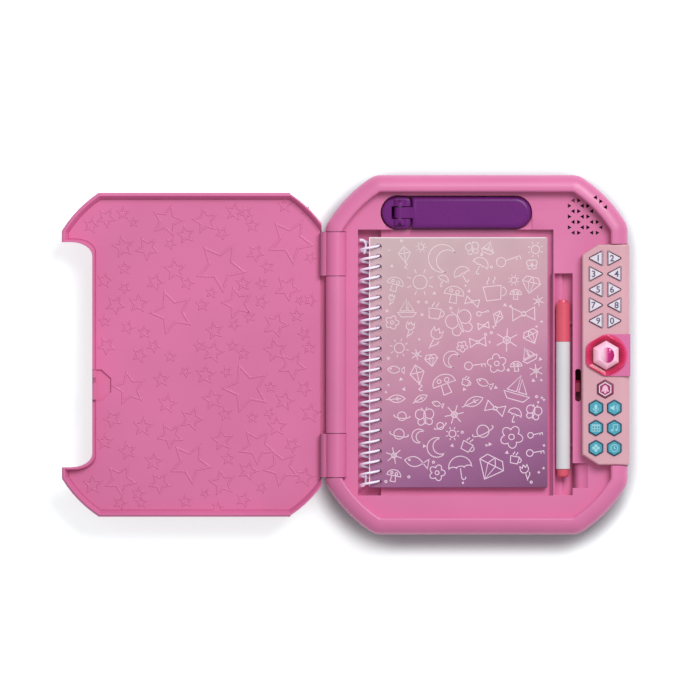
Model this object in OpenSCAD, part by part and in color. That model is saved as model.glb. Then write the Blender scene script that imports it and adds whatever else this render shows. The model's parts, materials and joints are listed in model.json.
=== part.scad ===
// Electronic secret diary: a hinged plastic case with a keypad that locks it, a folding lamp,
// a coil-bound notebook and a pen. It lies open, with the lid swung flat to the left.
// Sizes below are measured from the centre of the base. Each node is then moved along X, so that
// the origin is the centre of the open diary, on the surface it stands on.
// +X is to the keypad, +Y to the lamp and +Z up.

/* [Base] */
// Width of the base
base_w = 198.4; // [194:0.2:206]
// Depth of the base
base_d = 236; // [230:1:244]
// Height of the rim above the surface
rim_z = 36; // [35:0.5:38]
// Height of the deck above the surface
deck_z = 27; // [26.5:0.5:27.5]
// Width of the rim
rim_w = 11.2; // [10.6:0.2:12]
// Corner chamfer along the width
corner_x = 32.5; // [30:0.5:36]
// Corner chamfer along the depth
corner_y = 33.5; // [31:0.5:36]
// How far the corner chamfers bow outwards
corner_bow = 3; // [2:0.5:4]
// Radius where the chamfers meet the straight sides
corner_round = 14; // [11.8:0.2:15]
// Thickness of the case walls
wall = 2.2; // [1.8:0.1:2.6]
// Thickness of pocket floors and walls
tub_wall = 1.8; // [1.4:0.1:2.2]
// Height of the seam between the lower case and the deck
split_z = 13; // [11:0.5:14]
// Height of the feet
foot_h = 1.2; // [0.8:0.1:2]

/* [Hinge and lid] */
// Distance of the hinge axis from the left side of the base
hinge_in = 6.8; // [6.8:0.1:7.2]
// Radius of the hinge barrel
barrel_r = 6.7; // [6.4:0.1:6.7]
// Radius of the hinge pins
pin_r = 2; // [1.5:0.1:2.4]
// Half length of the middle barrel
barrel_half = 51.5; // [48:0.5:54]
// Length of each lid knuckle
knuckle_l = 28.6; // [26:0.2:29]
// Gap between the lid and the rim
lid_gap = 0.5; // [0.4:0.1:0.8]
// Thickness of the lid's cover plate
lid_plate = 2; // [1.6:0.1:2.4]
// Width of the lip around the lid, at its foot
lip_w = 4.4; // [4.2:0.1:4.6]
// Thickness of the lid's liner
liner_t = 1.2; // [0.8:0.1:1.6]

/* [Keypad] */
// Width of the keypad panel
panel_w = 31.2; // [31:0.1:31.6]
// Depth of the keypad panel
panel_d = 145; // [144:0.5:147]
// Height of the panel's face above the deck
panel_h = 8.7; // [8.3:0.1:9]
// Thickness of the panel's face
panel_t = 2; // [1.6:0.1:2.2]
// Spacing of the number keys along the panel
digit_pitch = 10.27; // [10.2:0.01:10.6]
// Spacing of the two key columns
column_pitch = 12.1; // [11.8:0.1:12.6]
// Travel of the keys
key_travel = 1; // [0.6:0.1:1]
// Clearance round each key
key_gap = 0.25; // [0.2:0.05:0.3]

/* [Notebook and pen] */
// Gap between the notebook and the sides of its pocket
cover_gap = 3.9; // [3:0.1:5]
// Thickness of the stack of pages
pages_t = 3.5; // [3:0.1:3.6]
// Thickness of each cover
cover_t = 0.8; // [0.6:0.1:0.9]
// Radius of the coil at the middle of its wire
coil_r = 6.2; // [6:0.1:6.2]
// Thickness of the coil's wire
coil_wire = 1.6; // [1.4:0.1:1.6]
// Diameter of the punched holes
hole_d = 4.4; // [4.2:0.1:4.6]
// Length of the pen
pen_l = 116.2; // [110:0.2:118]
// Diameter of the pen
pen_d = 9.3; // [9:0.1:9.4]

/* [Lamp] */
// Width of the lamp arm
arm_w = 20.7; // [20:0.1:21]
// Length of the lamp arm's housing
arm_l = 78; // [72:1:79]
// Height of the lamp arm's housing
arm_h = 9.2; // [8.6:0.1:9.4]
// Diameter of the turret
turret_d = 21.3; // [21:0.1:21.6]

/* [Hidden] */

// Smallest step that keeps a cut clear of the face it starts from
cut = 0.5;
// Gap between faces of two bodies that rest on each other
seat = 0.1;
// Radial clearance of a running pin
run = 0.05;

// Base outline: straight sides joined by chamfers that bow outwards
half_w = base_w / 2;
half_d = base_d / 2;
chamfer_l = norm([corner_x, corner_y]);
chamfer_out = [corner_y, corner_x] / chamfer_l;
bow_r = chamfer_l * chamfer_l / (8 * corner_bow) + corner_bow / 2;
bow_c = [half_w - corner_x / 2, half_d - corner_y / 2] - chamfer_out * (bow_r - corner_bow);
bow_steps = 6;
round_steps = 4;

// Chamfer drawn in by t: its bow, between two small arcs that lead into the straight sides
function corner_arc(t) =
    let (in_r = max(corner_round, t + 0.4),
        f = in_r - t,
        r = bow_r - in_r,
        low = [half_w - in_r, bow_c[1] + sqrt(pow(r, 2) - pow(half_w - in_r - bow_c[0], 2))],
        high = [bow_c[0] + sqrt(pow(r, 2) - pow(half_d - in_r - bow_c[1], 2)), half_d - in_r],
        a0 = atan2(low[1] - bow_c[1], low[0] - bow_c[0]),
        a1 = atan2(high[1] - bow_c[1], high[0] - bow_c[0]))
    concat([for (i = [0:round_steps]) low + f * [cos(a0 * i / round_steps), sin(a0 * i / round_steps)]],
        [for (i = [1:bow_steps - 1]) let (a = a0 + (a1 - a0) * i / bow_steps) bow_c + (bow_r - t) * [cos(a), sin(a)]],
        [for (i = [0:round_steps]) let (a = a1 + (90 - a1) * i / round_steps) high + f * [cos(a), sin(a)]]);
function turned(points, sx, sy) =
    sx * sy > 0 ? [for (p = points) [sx * p[0], sy * p[1]]]
    : [for (i = [len(points) - 1:-1:0]) [sx * points[i][0], sy * points[i][1]]];
function case_outline(t) = let (q = corner_arc(t)) concat(q, turned(q, -1, 1), turned(q, -1, -1), turned(q, 1, -1));

// Convex outlines: drawn in by t, and with round corners
function edge_out(p, i) = let (e = p[(i + 1) % len(p)] - p[i]) [e[1], -e[0]] / norm(e);
function drawn_in(p, t) = [for (i = [0:len(p) - 1])
    let (a = edge_out(p, (i + len(p) - 1) % len(p)), b = edge_out(p, i))
    p[i] - (a + b) * t / (1 + a * b)];
function rounded(p, r, steps = 3) = let (c = drawn_in(p, r)) [for (i = [0:len(p) - 1])
    let (a = edge_out(p, (i + len(p) - 1) % len(p)), b = edge_out(p, i),
        a0 = atan2(a[1], a[0]),
        turn = (atan2(b[1], b[0]) - a0 + 720) % 360)
    for (k = [0:steps]) c[i] + r * [cos(a0 + turn * k / steps), sin(a0 + turn * k / steps)]];
function moved(p, by) = [for (q = p) q + by];
function hexagon(w, h) = let (s = h / 2 - w / 2 * tan(30))
    [[0, -h / 2], [w / 2, -s], [w / 2, s], [0, h / 2], [-w / 2, s], [-w / 2, -s]];
function arrow(w, h, side, tip = 0) = side > 0 ? [[-w / 2, -h / 2], [w / 2 + tip, 0], [-w / 2, h / 2]]
    : [[w / 2, h / 2], [-w / 2 - tip, 0], [w / 2, -h / 2]];

// Solid through a list of [outline, height] rings with as many points each
module loft(rings) {
    n = len(rings[0][0]);
    m = len(rings);
    polyhedron(
        points = [for (r = rings) for (p = r[0]) [p[0], p[1], r[1]]],
        faces = concat(
            [[for (i = [0:n - 1]) i]],
            [[for (i = [n - 1:-1:0]) (m - 1) * n + i]],
            [for (j = [0:m - 2]) for (i = [0:n - 1]) [j * n + i, (j + 1) * n + i, (j + 1) * n + (i + 1) % n]],
            [for (j = [0:m - 2]) for (i = [0:n - 1]) [j * n + i, (j + 1) * n + (i + 1) % n, j * n + (i + 1) % n]]));
}
// Upright plate of an outline from z0 to z1
module plate(points, z0, z1) {
    translate([0, 0, z0]) linear_extrude(z1 - z0) polygon(points);
}
// Box between two corners
module block(a, b) {
    translate(a) cube(b - a);
}
// Cylinder along Y from y0 to y1, centred at [x, z]
module rod_y(x, z, r, y0, y1, fn = 48) {
    translate([x, y1, z]) rotate([90, 0, 0]) cylinder(r = r, h = y1 - y0, $fn = fn);
}
module rod_z(x, y, r, z0, z1, fn = 48) {
    translate([x, y, z0]) cylinder(r = r, h = z1 - z0, $fn = fn);
}

// Rim section, outside to inside, as [inset, height] pairs
rim_crown = 9.4;
rim_out_z = rim_z - 7.5;
rim_in_z = rim_z - 1.8;
rim_profile = concat(
    [[0.5, split_z], [0, split_z + 5], [0, rim_out_z]],
    [for (i = [1:8]) let (a = 90 * i / 8)
        [rim_crown * (1 - cos(a)), rim_out_z + (rim_z - rim_out_z) * sin(a)]],
    [for (i = [1:4]) let (a = 90 * i / 4)
        [rim_crown + (rim_w - rim_crown) * sin(a), rim_in_z + (rim_z - rim_in_z) * cos(a)]],
    [[rim_w, deck_z]]);
deck_under = deck_z - wall;
hollow_profile = [[wall + 0.5, split_z - cut], [wall, split_z + 5], [wall, rim_out_z],
    [rim_crown - 1.6, rim_z - wall - 0.6], [rim_w - wall - 0.3, rim_z - wall - 0.6],
    [rim_w - wall, rim_in_z - 1], [rim_w - wall, deck_under]];

// Hinge
hinge_x = -half_w + hinge_in;
hinge_z = rim_z - barrel_r;
bay_gap = 0.4;
knuckle_y0 = barrel_half + bay_gap;
knuckle_y1 = knuckle_y0 + knuckle_l;
bay_y1 = knuckle_y1 + bay_gap;
end_barrel_y1 = half_d - corner_y + 0.4;
pin_y0 = barrel_half - 11;
pin_y1 = end_barrel_y1 + 1.5;
lid_edge_x = hinge_x + barrel_r + 0.5;
arm_edge_x = lid_edge_x + 3;
lid_low_z = deck_z + 0.4;
hinge_sill = 1.6;
recess_z = rim_z - lid_plate - liner_t;
lid_t = rim_w + lid_gap - 0.1;
swing_relief = 1.1;
function lid_outline(t) = case_outline(lid_t + t);

// Keypad panel and its keys
panel_x1 = half_w + 1.2;
bezel_skin = 0.5;
panel_x0 = panel_x1 - panel_w;
panel_y = panel_d / 2;
panel_z = deck_z + panel_h;
panel_under = panel_z - panel_t;
panel_cx = 10.6;
panel_cy = 6.8;
panel_side = 1.8;
panel_skirt_x = half_w + 0.25;
function panel_outline(x1) = [[panel_x0, -panel_y + panel_cy], [panel_x0 + panel_cx, -panel_y], [x1, -panel_y],
    [x1, panel_y], [panel_x0 + panel_cx, panel_y], [panel_x0, panel_y - panel_cy]];
left_col = panel_x0 + 9.1;
right_col = left_col + column_pitch;
digit_y0 = panel_y - 9.1;
digit_w = 9.1;
digit_h = 9.9;
key_top = panel_z + 1.1;
board_z = deck_z + seat;
board_t = 1.6;
mat_t = 2;
foot_z = board_z + board_t + mat_t + key_travel + 0.1;
flange_t = 1.3;
flange_w = 0.9;
gem_c = [panel_x0 + 15.7, -0.3];
gem_w = 16.4;
gem_hgt = 18.9;
bezel_h = 1.9;
bezel_out = 5;
bezel_side_y = 13.8;
bell_c = [gem_c[0] - 0.5, gem_c[1] - 22.3];
bell_w = 10.5;
bell_hgt = 12.2;
hex_w = 9.3;
hex_hgt = 10.5;
hex_y0 = bell_c[1] - 12.3;
hex_pitch = 13.2;
function digit_at(i) = [i % 2 == 0 ? left_col : right_col, digit_y0 - floor(i / 2) * digit_pitch];
function digit_side(i) = [-1, 1, 1, -1, -1, 1, 1, -1, -1, 1][i];
function hex_at(i) = [i % 2 == 0 ? left_col : right_col, hex_y0 - floor(i / 2) * hex_pitch];
function key_shape(kind, side = 1) = kind == "digit" ? arrow(digit_w, digit_h + 0.5, side, 0.5)
    : kind == "gem" ? hexagon(gem_w, gem_hgt)
    : kind == "bell" ? hexagon(bell_w, bell_hgt) : hexagon(hex_w, hex_hgt);

// Notebook pocket and notebook
groove_x0 = panel_x0 - 18.1;
divider_x0 = groove_x0 - 2.1;
pocket_x0 = -half_w + 21.3;
pocket_x1 = divider_x0 + 1.4;
pocket_y0 = -half_d + 25.6;
pocket_y1 = half_d - 35.8;
stack_t = pages_t + 2 * cover_t + 0.1;
pocket_z = deck_z - 0.6 - stack_t - seat;
cover_x0 = pocket_x0 + 7.2;
cover_w = pocket_x1 - cover_gap - cover_x0;
cover_y1 = pocket_y1 - cover_gap - 1.1;
cover_d = cover_y1 - pocket_y0 - cover_gap - 1.4;
nb_z0 = pocket_z + seat;
pages_z0 = nb_z0 + cover_t;
pages_z1 = pages_z0 + pages_t;
front_z0 = pages_z1 + 0.1;
front_z1 = front_z0 + cover_t;
coil_x = cover_x0 + 0.5;
coil_z = (nb_z0 + front_z1) / 2;
coil_turns = 24;
coil_pitch = (cover_d - 3.02) / coil_turns;
coil_y1 = cover_y1 - 5.2;
hole_x = coil_x + coil_r - 0.45;
// The coil's wire leans along Y, and shifts as the cover turns
pages_shift = 0.45;
front_shift = -1.26;
trough_x1 = cover_x0 + 7.9;
trough_z = coil_z - coil_r - coil_wire / 2 - 0.5;
ring_per_turn = 8;
wire_sides = 6;

// Pen and its groove
groove_x1 = groove_x0 + 11.9;
groove_y0 = -half_d + 25.8;
pen_x = groove_x0 + 5.6;
shelf_z = deck_z - 5.6;
shelf_x1 = groove_x0 + 5;
groove_z = deck_z - 8.2;
divider_z = deck_z - 1.5;
pen_r = pen_d / 2;
pen_z = shelf_z + seat + pen_r;
pen_y0 = groove_y0 + 11.9;
pen_y1 = pen_y0 + pen_l;
groove_y1 = pen_y1 + 17.5;
plug_l = 5.3;
cap_l = 27.3;
cap_bore_r = 3.4;
cap_y0 = pen_y1 - cap_l;
scoop_x1 = groove_x1 + 10.2;
scoop_y0 = groove_y0 + 4.7;
scoop_y1 = scoop_y0 + 16.3;
scoop_d = 3;

// Latch
slot_x0 = panel_x0 - 4.6;
slot_x1 = slot_x0 + 3.9;
slot_y1 = gem_c[1] - 9;
slot_y0 = slot_y1 - 21.4;
catch_x0 = slot_x0 + 0.5;
catch_x1 = slot_x1 - 1;
slider_y1 = slot_y1 - 7.4;
slider_nose = 7.7;
slider_top = deck_z - 3;
slider_mid = deck_z - 7.2;
slider_low = deck_z - 18;
// The pen groove's tub leaves only a neck above this height
slider_wide_z = groove_z - tub_wall - 0.2;
guide_t = 1.6;
guide_x0 = slot_x0 - 2.7;
guide_x1 = slot_x1 + 2.7;
guide_y0 = slot_y0 - 33.3;
guide_y1 = slot_y1 + 5.3;
solenoid_y1 = slot_y0 - 16.3;
solenoid_y0 = solenoid_y1 - 15;
plunger_r = 1.8;
plunger_z = (slider_wide_z + slider_low) / 2;
slot_mid_x = (slot_x0 + slot_x1) / 2;
spring_y1 = slot_y0 - 5.3;
spring_y0 = solenoid_y1;

// Lamp
lamp_y = half_d - 24.7;
turret_x = -half_w + 47.5;
lamp_axis_x = turret_x + 1.3;
arm_x0 = turret_x + 9.4;
lamp_floor = deck_z - 8;
turret_z0 = lamp_floor + seat;
turret_z1 = deck_z + 1.4;
lamp_axis_z = deck_z - 1.6;
ear_r = 5;
tab_w = 7.3;
tab_r = 4.5;
tab_gap = 0.95;
turret_cut_x = arm_x0 - 0.8;
lamp_pin_r = 1.5;
arm_x1 = arm_x0 + arm_l;
arm_z0 = lamp_floor + 0.8;
arm_z1 = arm_z0 + arm_h;
arm_seam = arm_z0 + 3;
arm_r = arm_w / 2;
pocket_gap = 0.8;
lens_r = 7;
ledge_y0 = lamp_y - 15.3;
stem_r = 5;

// Speaker
speaker_c = [half_w - 28.4, half_d - 28.4];
speaker_r = 13;
speaker_h = 6;

// Feet, screws, battery box and boards
screws = [[21.2 - half_w, half_d - 21], [half_w - 51.2, half_d - 10], [half_w - 8.2, half_d - 39],
    [21.2 - half_w, 21 - half_d], [0, 13.5 - half_d], [half_w - 19.2, 21 - half_d]];
boss_r = 3.8;
boss_z = split_z - 1;
screw_r = 1.2;
head_r = 2.8;
web_z = 8;
feet = [for (x = [-1, 1], y = [1, -1]) [x * (half_w - 29.2), y * (half_d - 33)]];
foot_r = 7;
floor_z = foot_h + wall;
cell_r = 7.1;
cell_l = 49.5;
cells = 3;
cell_gap = 0.8;
box_x0 = -22;
box_y0 = -29;
box_in_w = cells * 2 * cell_r + (cells + 1) * cell_gap;
box_in_l = cell_l + 8;
box_wall = 1.4;
cell_z = floor_z + cell_r + 0.2;
door_lap = 2;
door_screw = [box_x0 + box_in_w + 7, box_y0 + box_in_l / 2];
pcb_w = 26;
pcb_d = 76;
pcb = [[41.2 - half_w, -pcb_d / 2], [41.2 - half_w + pcb_w, pcb_d / 2]];
pcb_z = floor_z + 3.5;
ribbon_w = 8;
ribbon_y = 14.5 - panel_y;

// Shell of the lower case with battery box, bosses and board posts
module lower_case() {
    low_rings = [[7, foot_h], [3.6, foot_h + 0.8], [1.6, foot_h + 2.6], [0.8, foot_h + 6], [0.5, split_z]];
    in_rings = [[8.5, floor_z], [wall + 1.6, floor_z + 1.8], [wall + 0.5, floor_z + 5], [wall + 0.5, split_z + cut]];
    color("hotpink") difference() {
        union() {
            difference() {
                loft([for (r = low_rings) [case_outline(r[0]), r[1]]]);
                loft([for (r = in_rings) [case_outline(r[0]), r[1]]]);
            }
            // Tongue that locates the deck
            difference() {
                plate(case_outline(wall + 0.6), split_z - 2, split_z + 1.5);
                plate(case_outline(wall + 1.8), split_z - 3, split_z + 2);
            }
            block([box_x0 - box_wall, box_y0 - box_wall, foot_h],
                [box_x0 + box_in_w + box_wall, box_y0 + box_in_l + box_wall, cell_z + cell_r + 1.3]);
            rod_z(door_screw[0], door_screw[1], boss_r, foot_h, floor_z + 4);
            for (s = screws) rod_z(s[0], s[1], boss_r, foot_h, boss_z);
            for (x = [pcb[0][0] + 3, pcb[1][0] - 3], y = [pcb[0][1] + 3, pcb[1][1] - 3])
                rod_z(x, y, 2, foot_h + 1, pcb_z);
        }
        block([box_x0, box_y0, foot_h - cut], [box_x0 + box_in_w, box_y0 + box_in_l, cell_z + cell_r + 0.2]);
        // Seat for the door's edge and for its screw tab
        plate(door_outline(0), foot_h - cut, foot_h + 1);
        rod_z(door_screw[0], door_screw[1], screw_r + 0.05, foot_h - cut, floor_z + 2.4, 24);
        for (s = screws) {
            rod_z(s[0], s[1], head_r + 0.3, foot_h - cut, web_z, 32);
            rod_z(s[0], s[1], screw_r + 0.3, web_z - cut, boss_z + cut, 24);
        }
        for (f = feet) rod_z(f[0], f[1], foot_r + 0.1, foot_h - cut, foot_h + 0.8);
    }
}

function door_outline(t) = let (x1 = box_x0 + box_in_w) drawn_in(
    [[box_x0 - door_lap, box_y0 - door_lap], [x1 + door_lap, box_y0 - door_lap],
    [x1 + door_lap + 9, door_screw[1] - 6], [x1 + door_lap + 9, door_screw[1] + 6],
    [x1 + door_lap, box_y0 + box_in_l + door_lap], [box_x0 - door_lap, box_y0 + box_in_l + door_lap]], t);

module battery_door() {
    color("deeppink") difference() {
        union() {
            plate(door_outline(0.25), foot_h, foot_h + 0.95);
            block([box_x0 + 0.3, box_y0 + 0.3, foot_h + 0.9],
                [box_x0 + box_in_w - 0.3, box_y0 + box_in_l - 0.3, foot_h + wall - 0.1]);
        }
        rod_z(door_screw[0], door_screw[1], screw_r + 0.3, foot_h - cut, foot_h + 2, 24);
        // Finger grooves
        for (i = [0:3]) block([box_x0 + 4, box_y0 + 6 + i * 2, foot_h - cut],
            [box_x0 + box_in_w / 2, box_y0 + 7 + i * 2, foot_h + 0.3]);
    }
}
module battery_door_screw() {
    color("silver") {
        rod_z(door_screw[0], door_screw[1], head_r, foot_h - 0.7, foot_h, 32);
        rod_z(door_screw[0], door_screw[1], screw_r, foot_h, floor_z + 2, 24);
    }
}
module batteries() {
    for (i = [0:cells - 1]) {
        x = box_x0 + cell_gap + cell_r + i * (2 * cell_r + cell_gap);
        flip = i % 2;
        y0 = box_y0 + (flip == 0 ? 4.6 : 3.2);
        color("dimgray") rod_y(x, cell_z, cell_r, y0, y0 + cell_l - 1.2);
        color("silver") rod_y(x, cell_z, 2.7, flip == 0 ? y0 + cell_l - 1.5 : y0 - 1, flip == 0 ? y0 + cell_l : y0 + cut);
    }
}
module battery_contacts() {
    leaf = 0.5;
    color("silver") for (i = [0:cells - 1], end = [0, 1]) {
        x = box_x0 + cell_gap + cell_r + i * (2 * cell_r + cell_gap);
        y = end == 0 ? box_y0 + 0.1 : box_y0 + box_in_l - 0.1 - leaf;
        block([x - 5, y, cell_z - 5], [x + 5, y + leaf, cell_z + 5]);
        // Bent leaf that presses on the cell
        step = end == 0 ? leaf : -1.6;
        block([x - 2, y + step, cell_z - 1.5], [x + 2, y + step + 1.6, cell_z + 1.5]);
    }
}
module rubber_feet() {
    color("gray") for (f = feet) difference() {
        rod_z(f[0], f[1], foot_r, 0, foot_h + 0.75);
        rod_z(f[0], f[1], foot_r - 2, -cut, 0.4);
    }
}
module case_screws() {
    color("silver") for (s = screws) difference() {
        union() {
            rod_z(s[0], s[1], head_r, web_z - 2, web_z - 0.05, 32);
            rod_z(s[0], s[1], screw_r, web_z - 0.1, split_z + 6, 24);
        }
        block([s[0] - 1.8, s[1] - 0.35, web_z - 2 - cut], [s[0] + 1.8, s[1] + 0.35, web_z - 1]);
        block([s[0] - 0.35, s[1] - 1.8, web_z - 2 - cut], [s[0] + 0.35, s[1] + 1.8, web_z - 1]);
    }
}

// Outer form of the deck: outside wall, rounded rim and the floor of the well
module deck_form() {
    difference() {
        loft([for (r = rim_profile) [case_outline(r[0]), r[1]]]);
        loft([for (r = hollow_profile) [case_outline(r[0]), r[1]]]);
    }
}
module lamp_space(grow, z0, z1) {
    block([turret_x, lamp_y - arm_r - grow, z0], [arm_x1 - arm_r, lamp_y + arm_r + grow, z1]);
    rod_z(arm_x1 - arm_r, lamp_y, arm_r + grow, z0, z1, 64);
    rod_z(turret_x, lamp_y, turret_d / 2 + grow, z0, z1, 64);
}
grille_pitch = 5.4 * 0.6565;
grille_cols = [-9.75, -7.7, -3.6, -1.65, 2.45, 4.5, 8.6, 10.6];
grille_rows = [[1, 2], [0, 3, 4], [1, 2, 5], [0, 3, 4], [1, 2, 5, 6], [0, 3, 4, 7], [1, 2, 5, 6]];
grille_y0 = 11.7;
grille_hole = [2.4, 2.9];
module grille_holes() {
    for (row = [0:len(grille_rows) - 1], c = grille_rows[row])
        translate([speaker_c[0] + grille_cols[c], speaker_c[1] + grille_y0 - row * grille_pitch, deck_under - cut])
            linear_extrude(wall + 2 * cut) polygon(arrow(grille_hole[0], grille_hole[1], c % 2 == 0 ? 1 : -1));
    // Three more on the rim beside them
    for (p = [[7, 13.6, -1], [10.9, 11.1, 1], [13.6, 7.3, -1]])
        translate([speaker_c[0] + p[0], speaker_c[1] + p[1], rim_z - 6])
            linear_extrude(8) polygon(arrow(grille_hole[0], grille_hole[1], p[2]));
}
module hinge_bay(side) {
    y0 = side > 0 ? barrel_half : -bay_y1;
    y1 = side > 0 ? bay_y1 : -barrel_half;
    rod_y(hinge_x, hinge_z, barrel_r + bay_gap, y0, y1, 64);
    block([-half_w - 5, y0, hinge_z - barrel_r - bay_gap], [hinge_x, y1, rim_z + 5]);
    block([hinge_x, y0, hinge_z], [hinge_x + barrel_r + bay_gap, y1, rim_z + 5]);
}
module barrel_section(y0, y1) {
    rod_y(hinge_x, hinge_z, barrel_r, y0, y1, 64);
    block([-half_w + 0.1, y0, split_z + 6], [hinge_x + barrel_r, y1, hinge_z]);
}
module upper_deck() {
    color("palevioletred") difference() {
        union() {
            difference() {
                deck_form();
                // The rim stops where the hinge takes its place
                block([-half_w - 5, -bay_y1, deck_under + 0.5],
                    [hinge_x + barrel_r - 0.5, bay_y1, rim_z + 5]);
            }
            barrel_section(-bay_y1, bay_y1);
            // Walls that close the rim beside the hinge, with bosses for the pins' outer ends
            for (s = [-1, 1]) intersection() {
                loft([for (r = rim_profile) [case_outline(r[0]), r[1]]]);
                block([-half_w - 1, s > 0 ? bay_y1 : -bay_y1 - wall, split_z + 6],
                    [hinge_x + barrel_r + 1.5, s > 0 ? bay_y1 + wall : -bay_y1, rim_z + 1]);
            }
            for (s = [-1, 1]) rod_y(hinge_x, hinge_z, pin_r + 2.2, s > 0 ? bay_y1 : -pin_y1 - 1.3,
                s > 0 ? pin_y1 + 1.3 : -bay_y1, 32);
            // Tubs under the deck
            block([pocket_x0 - tub_wall, pocket_y0 - tub_wall, pocket_z - tub_wall],
                [pocket_x1 + 1, pocket_y1 + 1, deck_z - 1]);
            block([pocket_x0 - tub_wall, pocket_y0 - tub_wall, trough_z - tub_wall],
                [trough_x1 + tub_wall, pocket_y1 + 1, deck_z - 1]);
            block([divider_x0, groove_y0 - tub_wall, groove_z - tub_wall],
                [groove_x1 + tub_wall, groove_y1 + tub_wall, deck_z - 1]);
            block([groove_x1, scoop_y0 - tub_wall, deck_z - scoop_d - tub_wall],
                [scoop_x1 + 1, scoop_y1 + tub_wall, deck_z - 1]);
            lamp_space(pocket_gap + tub_wall, lamp_floor - tub_wall, deck_z - 1);
            rod_z(speaker_c[0], speaker_c[1], speaker_r + 2, deck_under - 2.5, deck_z - 1);
            for (s = screws) rod_z(s[0], s[1], boss_r - 0.4, boss_z + 0.05, deck_z - 1);
        }
        // Notebook pocket with the deeper trough for the coil
        block([pocket_x0, pocket_y0, pocket_z], [pocket_x1, pocket_y1, rim_z + 5]);
        block([pocket_x0, pocket_y0, trough_z], [trough_x1, pocket_y1, pocket_z + cut]);
        // Pen groove: a shelf on the left and a deeper channel on the right
        block([groove_x0, groove_y0, shelf_z], [groove_x1, groove_y1, rim_z + 5]);
        difference() {
            block([shelf_x1, groove_y0, groove_z], [groove_x1, groove_y1, shelf_z + cut]);
            for (y = [pen_y0 + 20, pen_y1 - 16]) block([shelf_x1 - 1, y, groove_z - 1], [groove_x1 + 1, y + 2, shelf_z + seat / 2]);
        }
        // Finger scoop beside the pen's end
        translate([0, scoop_y1, 0]) rotate([90, 0, 0]) linear_extrude(scoop_y1 - scoop_y0)
            polygon([[groove_x1 - 1, deck_z - scoop_d], [groove_x1 + 5.4, deck_z - scoop_d],
                [scoop_x1 - 1.6, deck_z - 1.6], [scoop_x1, deck_z + 0.1], [scoop_x1, deck_z + 5], [groove_x1 - 1, deck_z + 5]]);
        // Lamp pocket, turret hole and the lowered ledge between lamp and notebook
        lamp_space(pocket_gap, lamp_floor, rim_z + 5);
        rod_z(turret_x, lamp_y, stem_r + run, lamp_floor - tub_wall - cut, lamp_floor + cut);
        block([turret_x - 8, ledge_y0, deck_z - 0.8], [arm_x1 + pocket_gap, lamp_y, rim_z + 5]);
        // Latch slot with round ends
        block([slot_x0, slot_y0 + (slot_x1 - slot_x0) / 2, deck_under - cut],
            [slot_x1, slot_y1 - (slot_x1 - slot_x0) / 2, deck_z + cut]);
        for (y = [slot_y0 + (slot_x1 - slot_x0) / 2, slot_y1 - (slot_x1 - slot_x0) / 2])
            rod_z(slot_mid_x, y, (slot_x1 - slot_x0) / 2, deck_under - cut, deck_z + cut, 32);
        // Seat of the keypad panel across the rim
        plate(drawn_in(panel_outline(panel_x1 + 5), -0.25), deck_z, rim_z + 5);
        // Window for the ribbon cable, under the panel
        block([panel_x0 + 8, ribbon_y - ribbon_w, deck_under - cut], [panel_x0 + 16, ribbon_y + ribbon_w, deck_z + cut]);
        grille_holes();
        rod_z(speaker_c[0], speaker_c[1], speaker_r + 0.1, deck_under - 3, deck_under + 0.05);
        for (s = [-1, 1]) {
            hinge_bay(s);
            rod_y(hinge_x, hinge_z, pin_r + run, s > 0 ? pin_y0 : -pin_y1, s > 0 ? pin_y1 : -pin_y0, 32);
        }
        for (s = screws) rod_z(s[0], s[1], screw_r + 0.05, boss_z - cut, split_z + 7, 24);
    }
    // Divider between notebook pocket and pen groove
    color("palevioletred") block([divider_x0, groove_y0 - 0.5, shelf_z - 1], [groove_x0, groove_y1, divider_z]);
}
module hinge_pins() {
    color("silver") for (s = [-1, 1])
        rod_y(hinge_x, hinge_z, pin_r, s > 0 ? pin_y0 + 0.1 : -pin_y1 + 0.1, s > 0 ? pin_y1 - 0.1 : -pin_y0 - 0.1, 32);
}

// Electronics under the deck
module main_board() {
    color("seagreen") difference() {
        block([pcb[0][0], pcb[0][1], pcb_z], [pcb[1][0], pcb[1][1], pcb_z + board_t]);
        for (x = [pcb[0][0] + 3, pcb[1][0] - 3], y = [pcb[0][1] + 3, pcb[1][1] - 3])
            rod_z(x, y, 1, pcb_z - cut, pcb_z + board_t + cut, 24);
    }
}
module circuit_chips() {
    color("black") {
        for (c = [[6, 30, 14, 14, 1.6], [8, 54, 10, 6, 1.4]])
            translate([pcb[0][0] + c[0], pcb[0][1] + c[1], pcb_z + board_t]) cube([c[2], c[3], c[4]]);
        rod_z(pcb[0][0] + 12, pcb[0][1] + 14, 3, pcb_z + board_t, pcb_z + board_t + 4.5, 32);
    }
}
module ribbon_cable() {
    // Flat cable from under the main board's edge to the keypad board above
    t = 0.4;
    y0 = ribbon_y - ribbon_w / 2;
    y1 = ribbon_y + ribbon_w / 2;
    x0 = pcb[0][0] + 12;
    x1 = panel_x0 + 11;
    color("whitesmoke") {
        block([x0, y0, pcb_z - t], [x0 + 4, pcb[0][1] + 6, pcb_z]);
        block([x0, y0, pcb_z - t], [x1, y1, pcb_z]);
        block([x1 - t, y0, pcb_z - t], [x1, y1, board_z]);
    }
}
module keypad_board() {
    color("seagreen") plate(drawn_in(panel_outline(half_w - 1.2), panel_side + 0.3), board_z, board_z + board_t);
}
module key_mat() {
    color("lightgray") difference() {
        plate(drawn_in(panel_outline(half_w - 1.6), panel_side + 0.7), board_z + board_t, board_z + board_t + mat_t);
        rod_z(gem_c[0], gem_c[1], 4, board_z + board_t - cut, board_z + board_t + mat_t + cut);
    }
}
module gem_light() {
    color("white") {
        rod_z(gem_c[0], gem_c[1], 2.5, board_z + board_t, board_z + board_t + 1.4, 32);
    }
}
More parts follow.
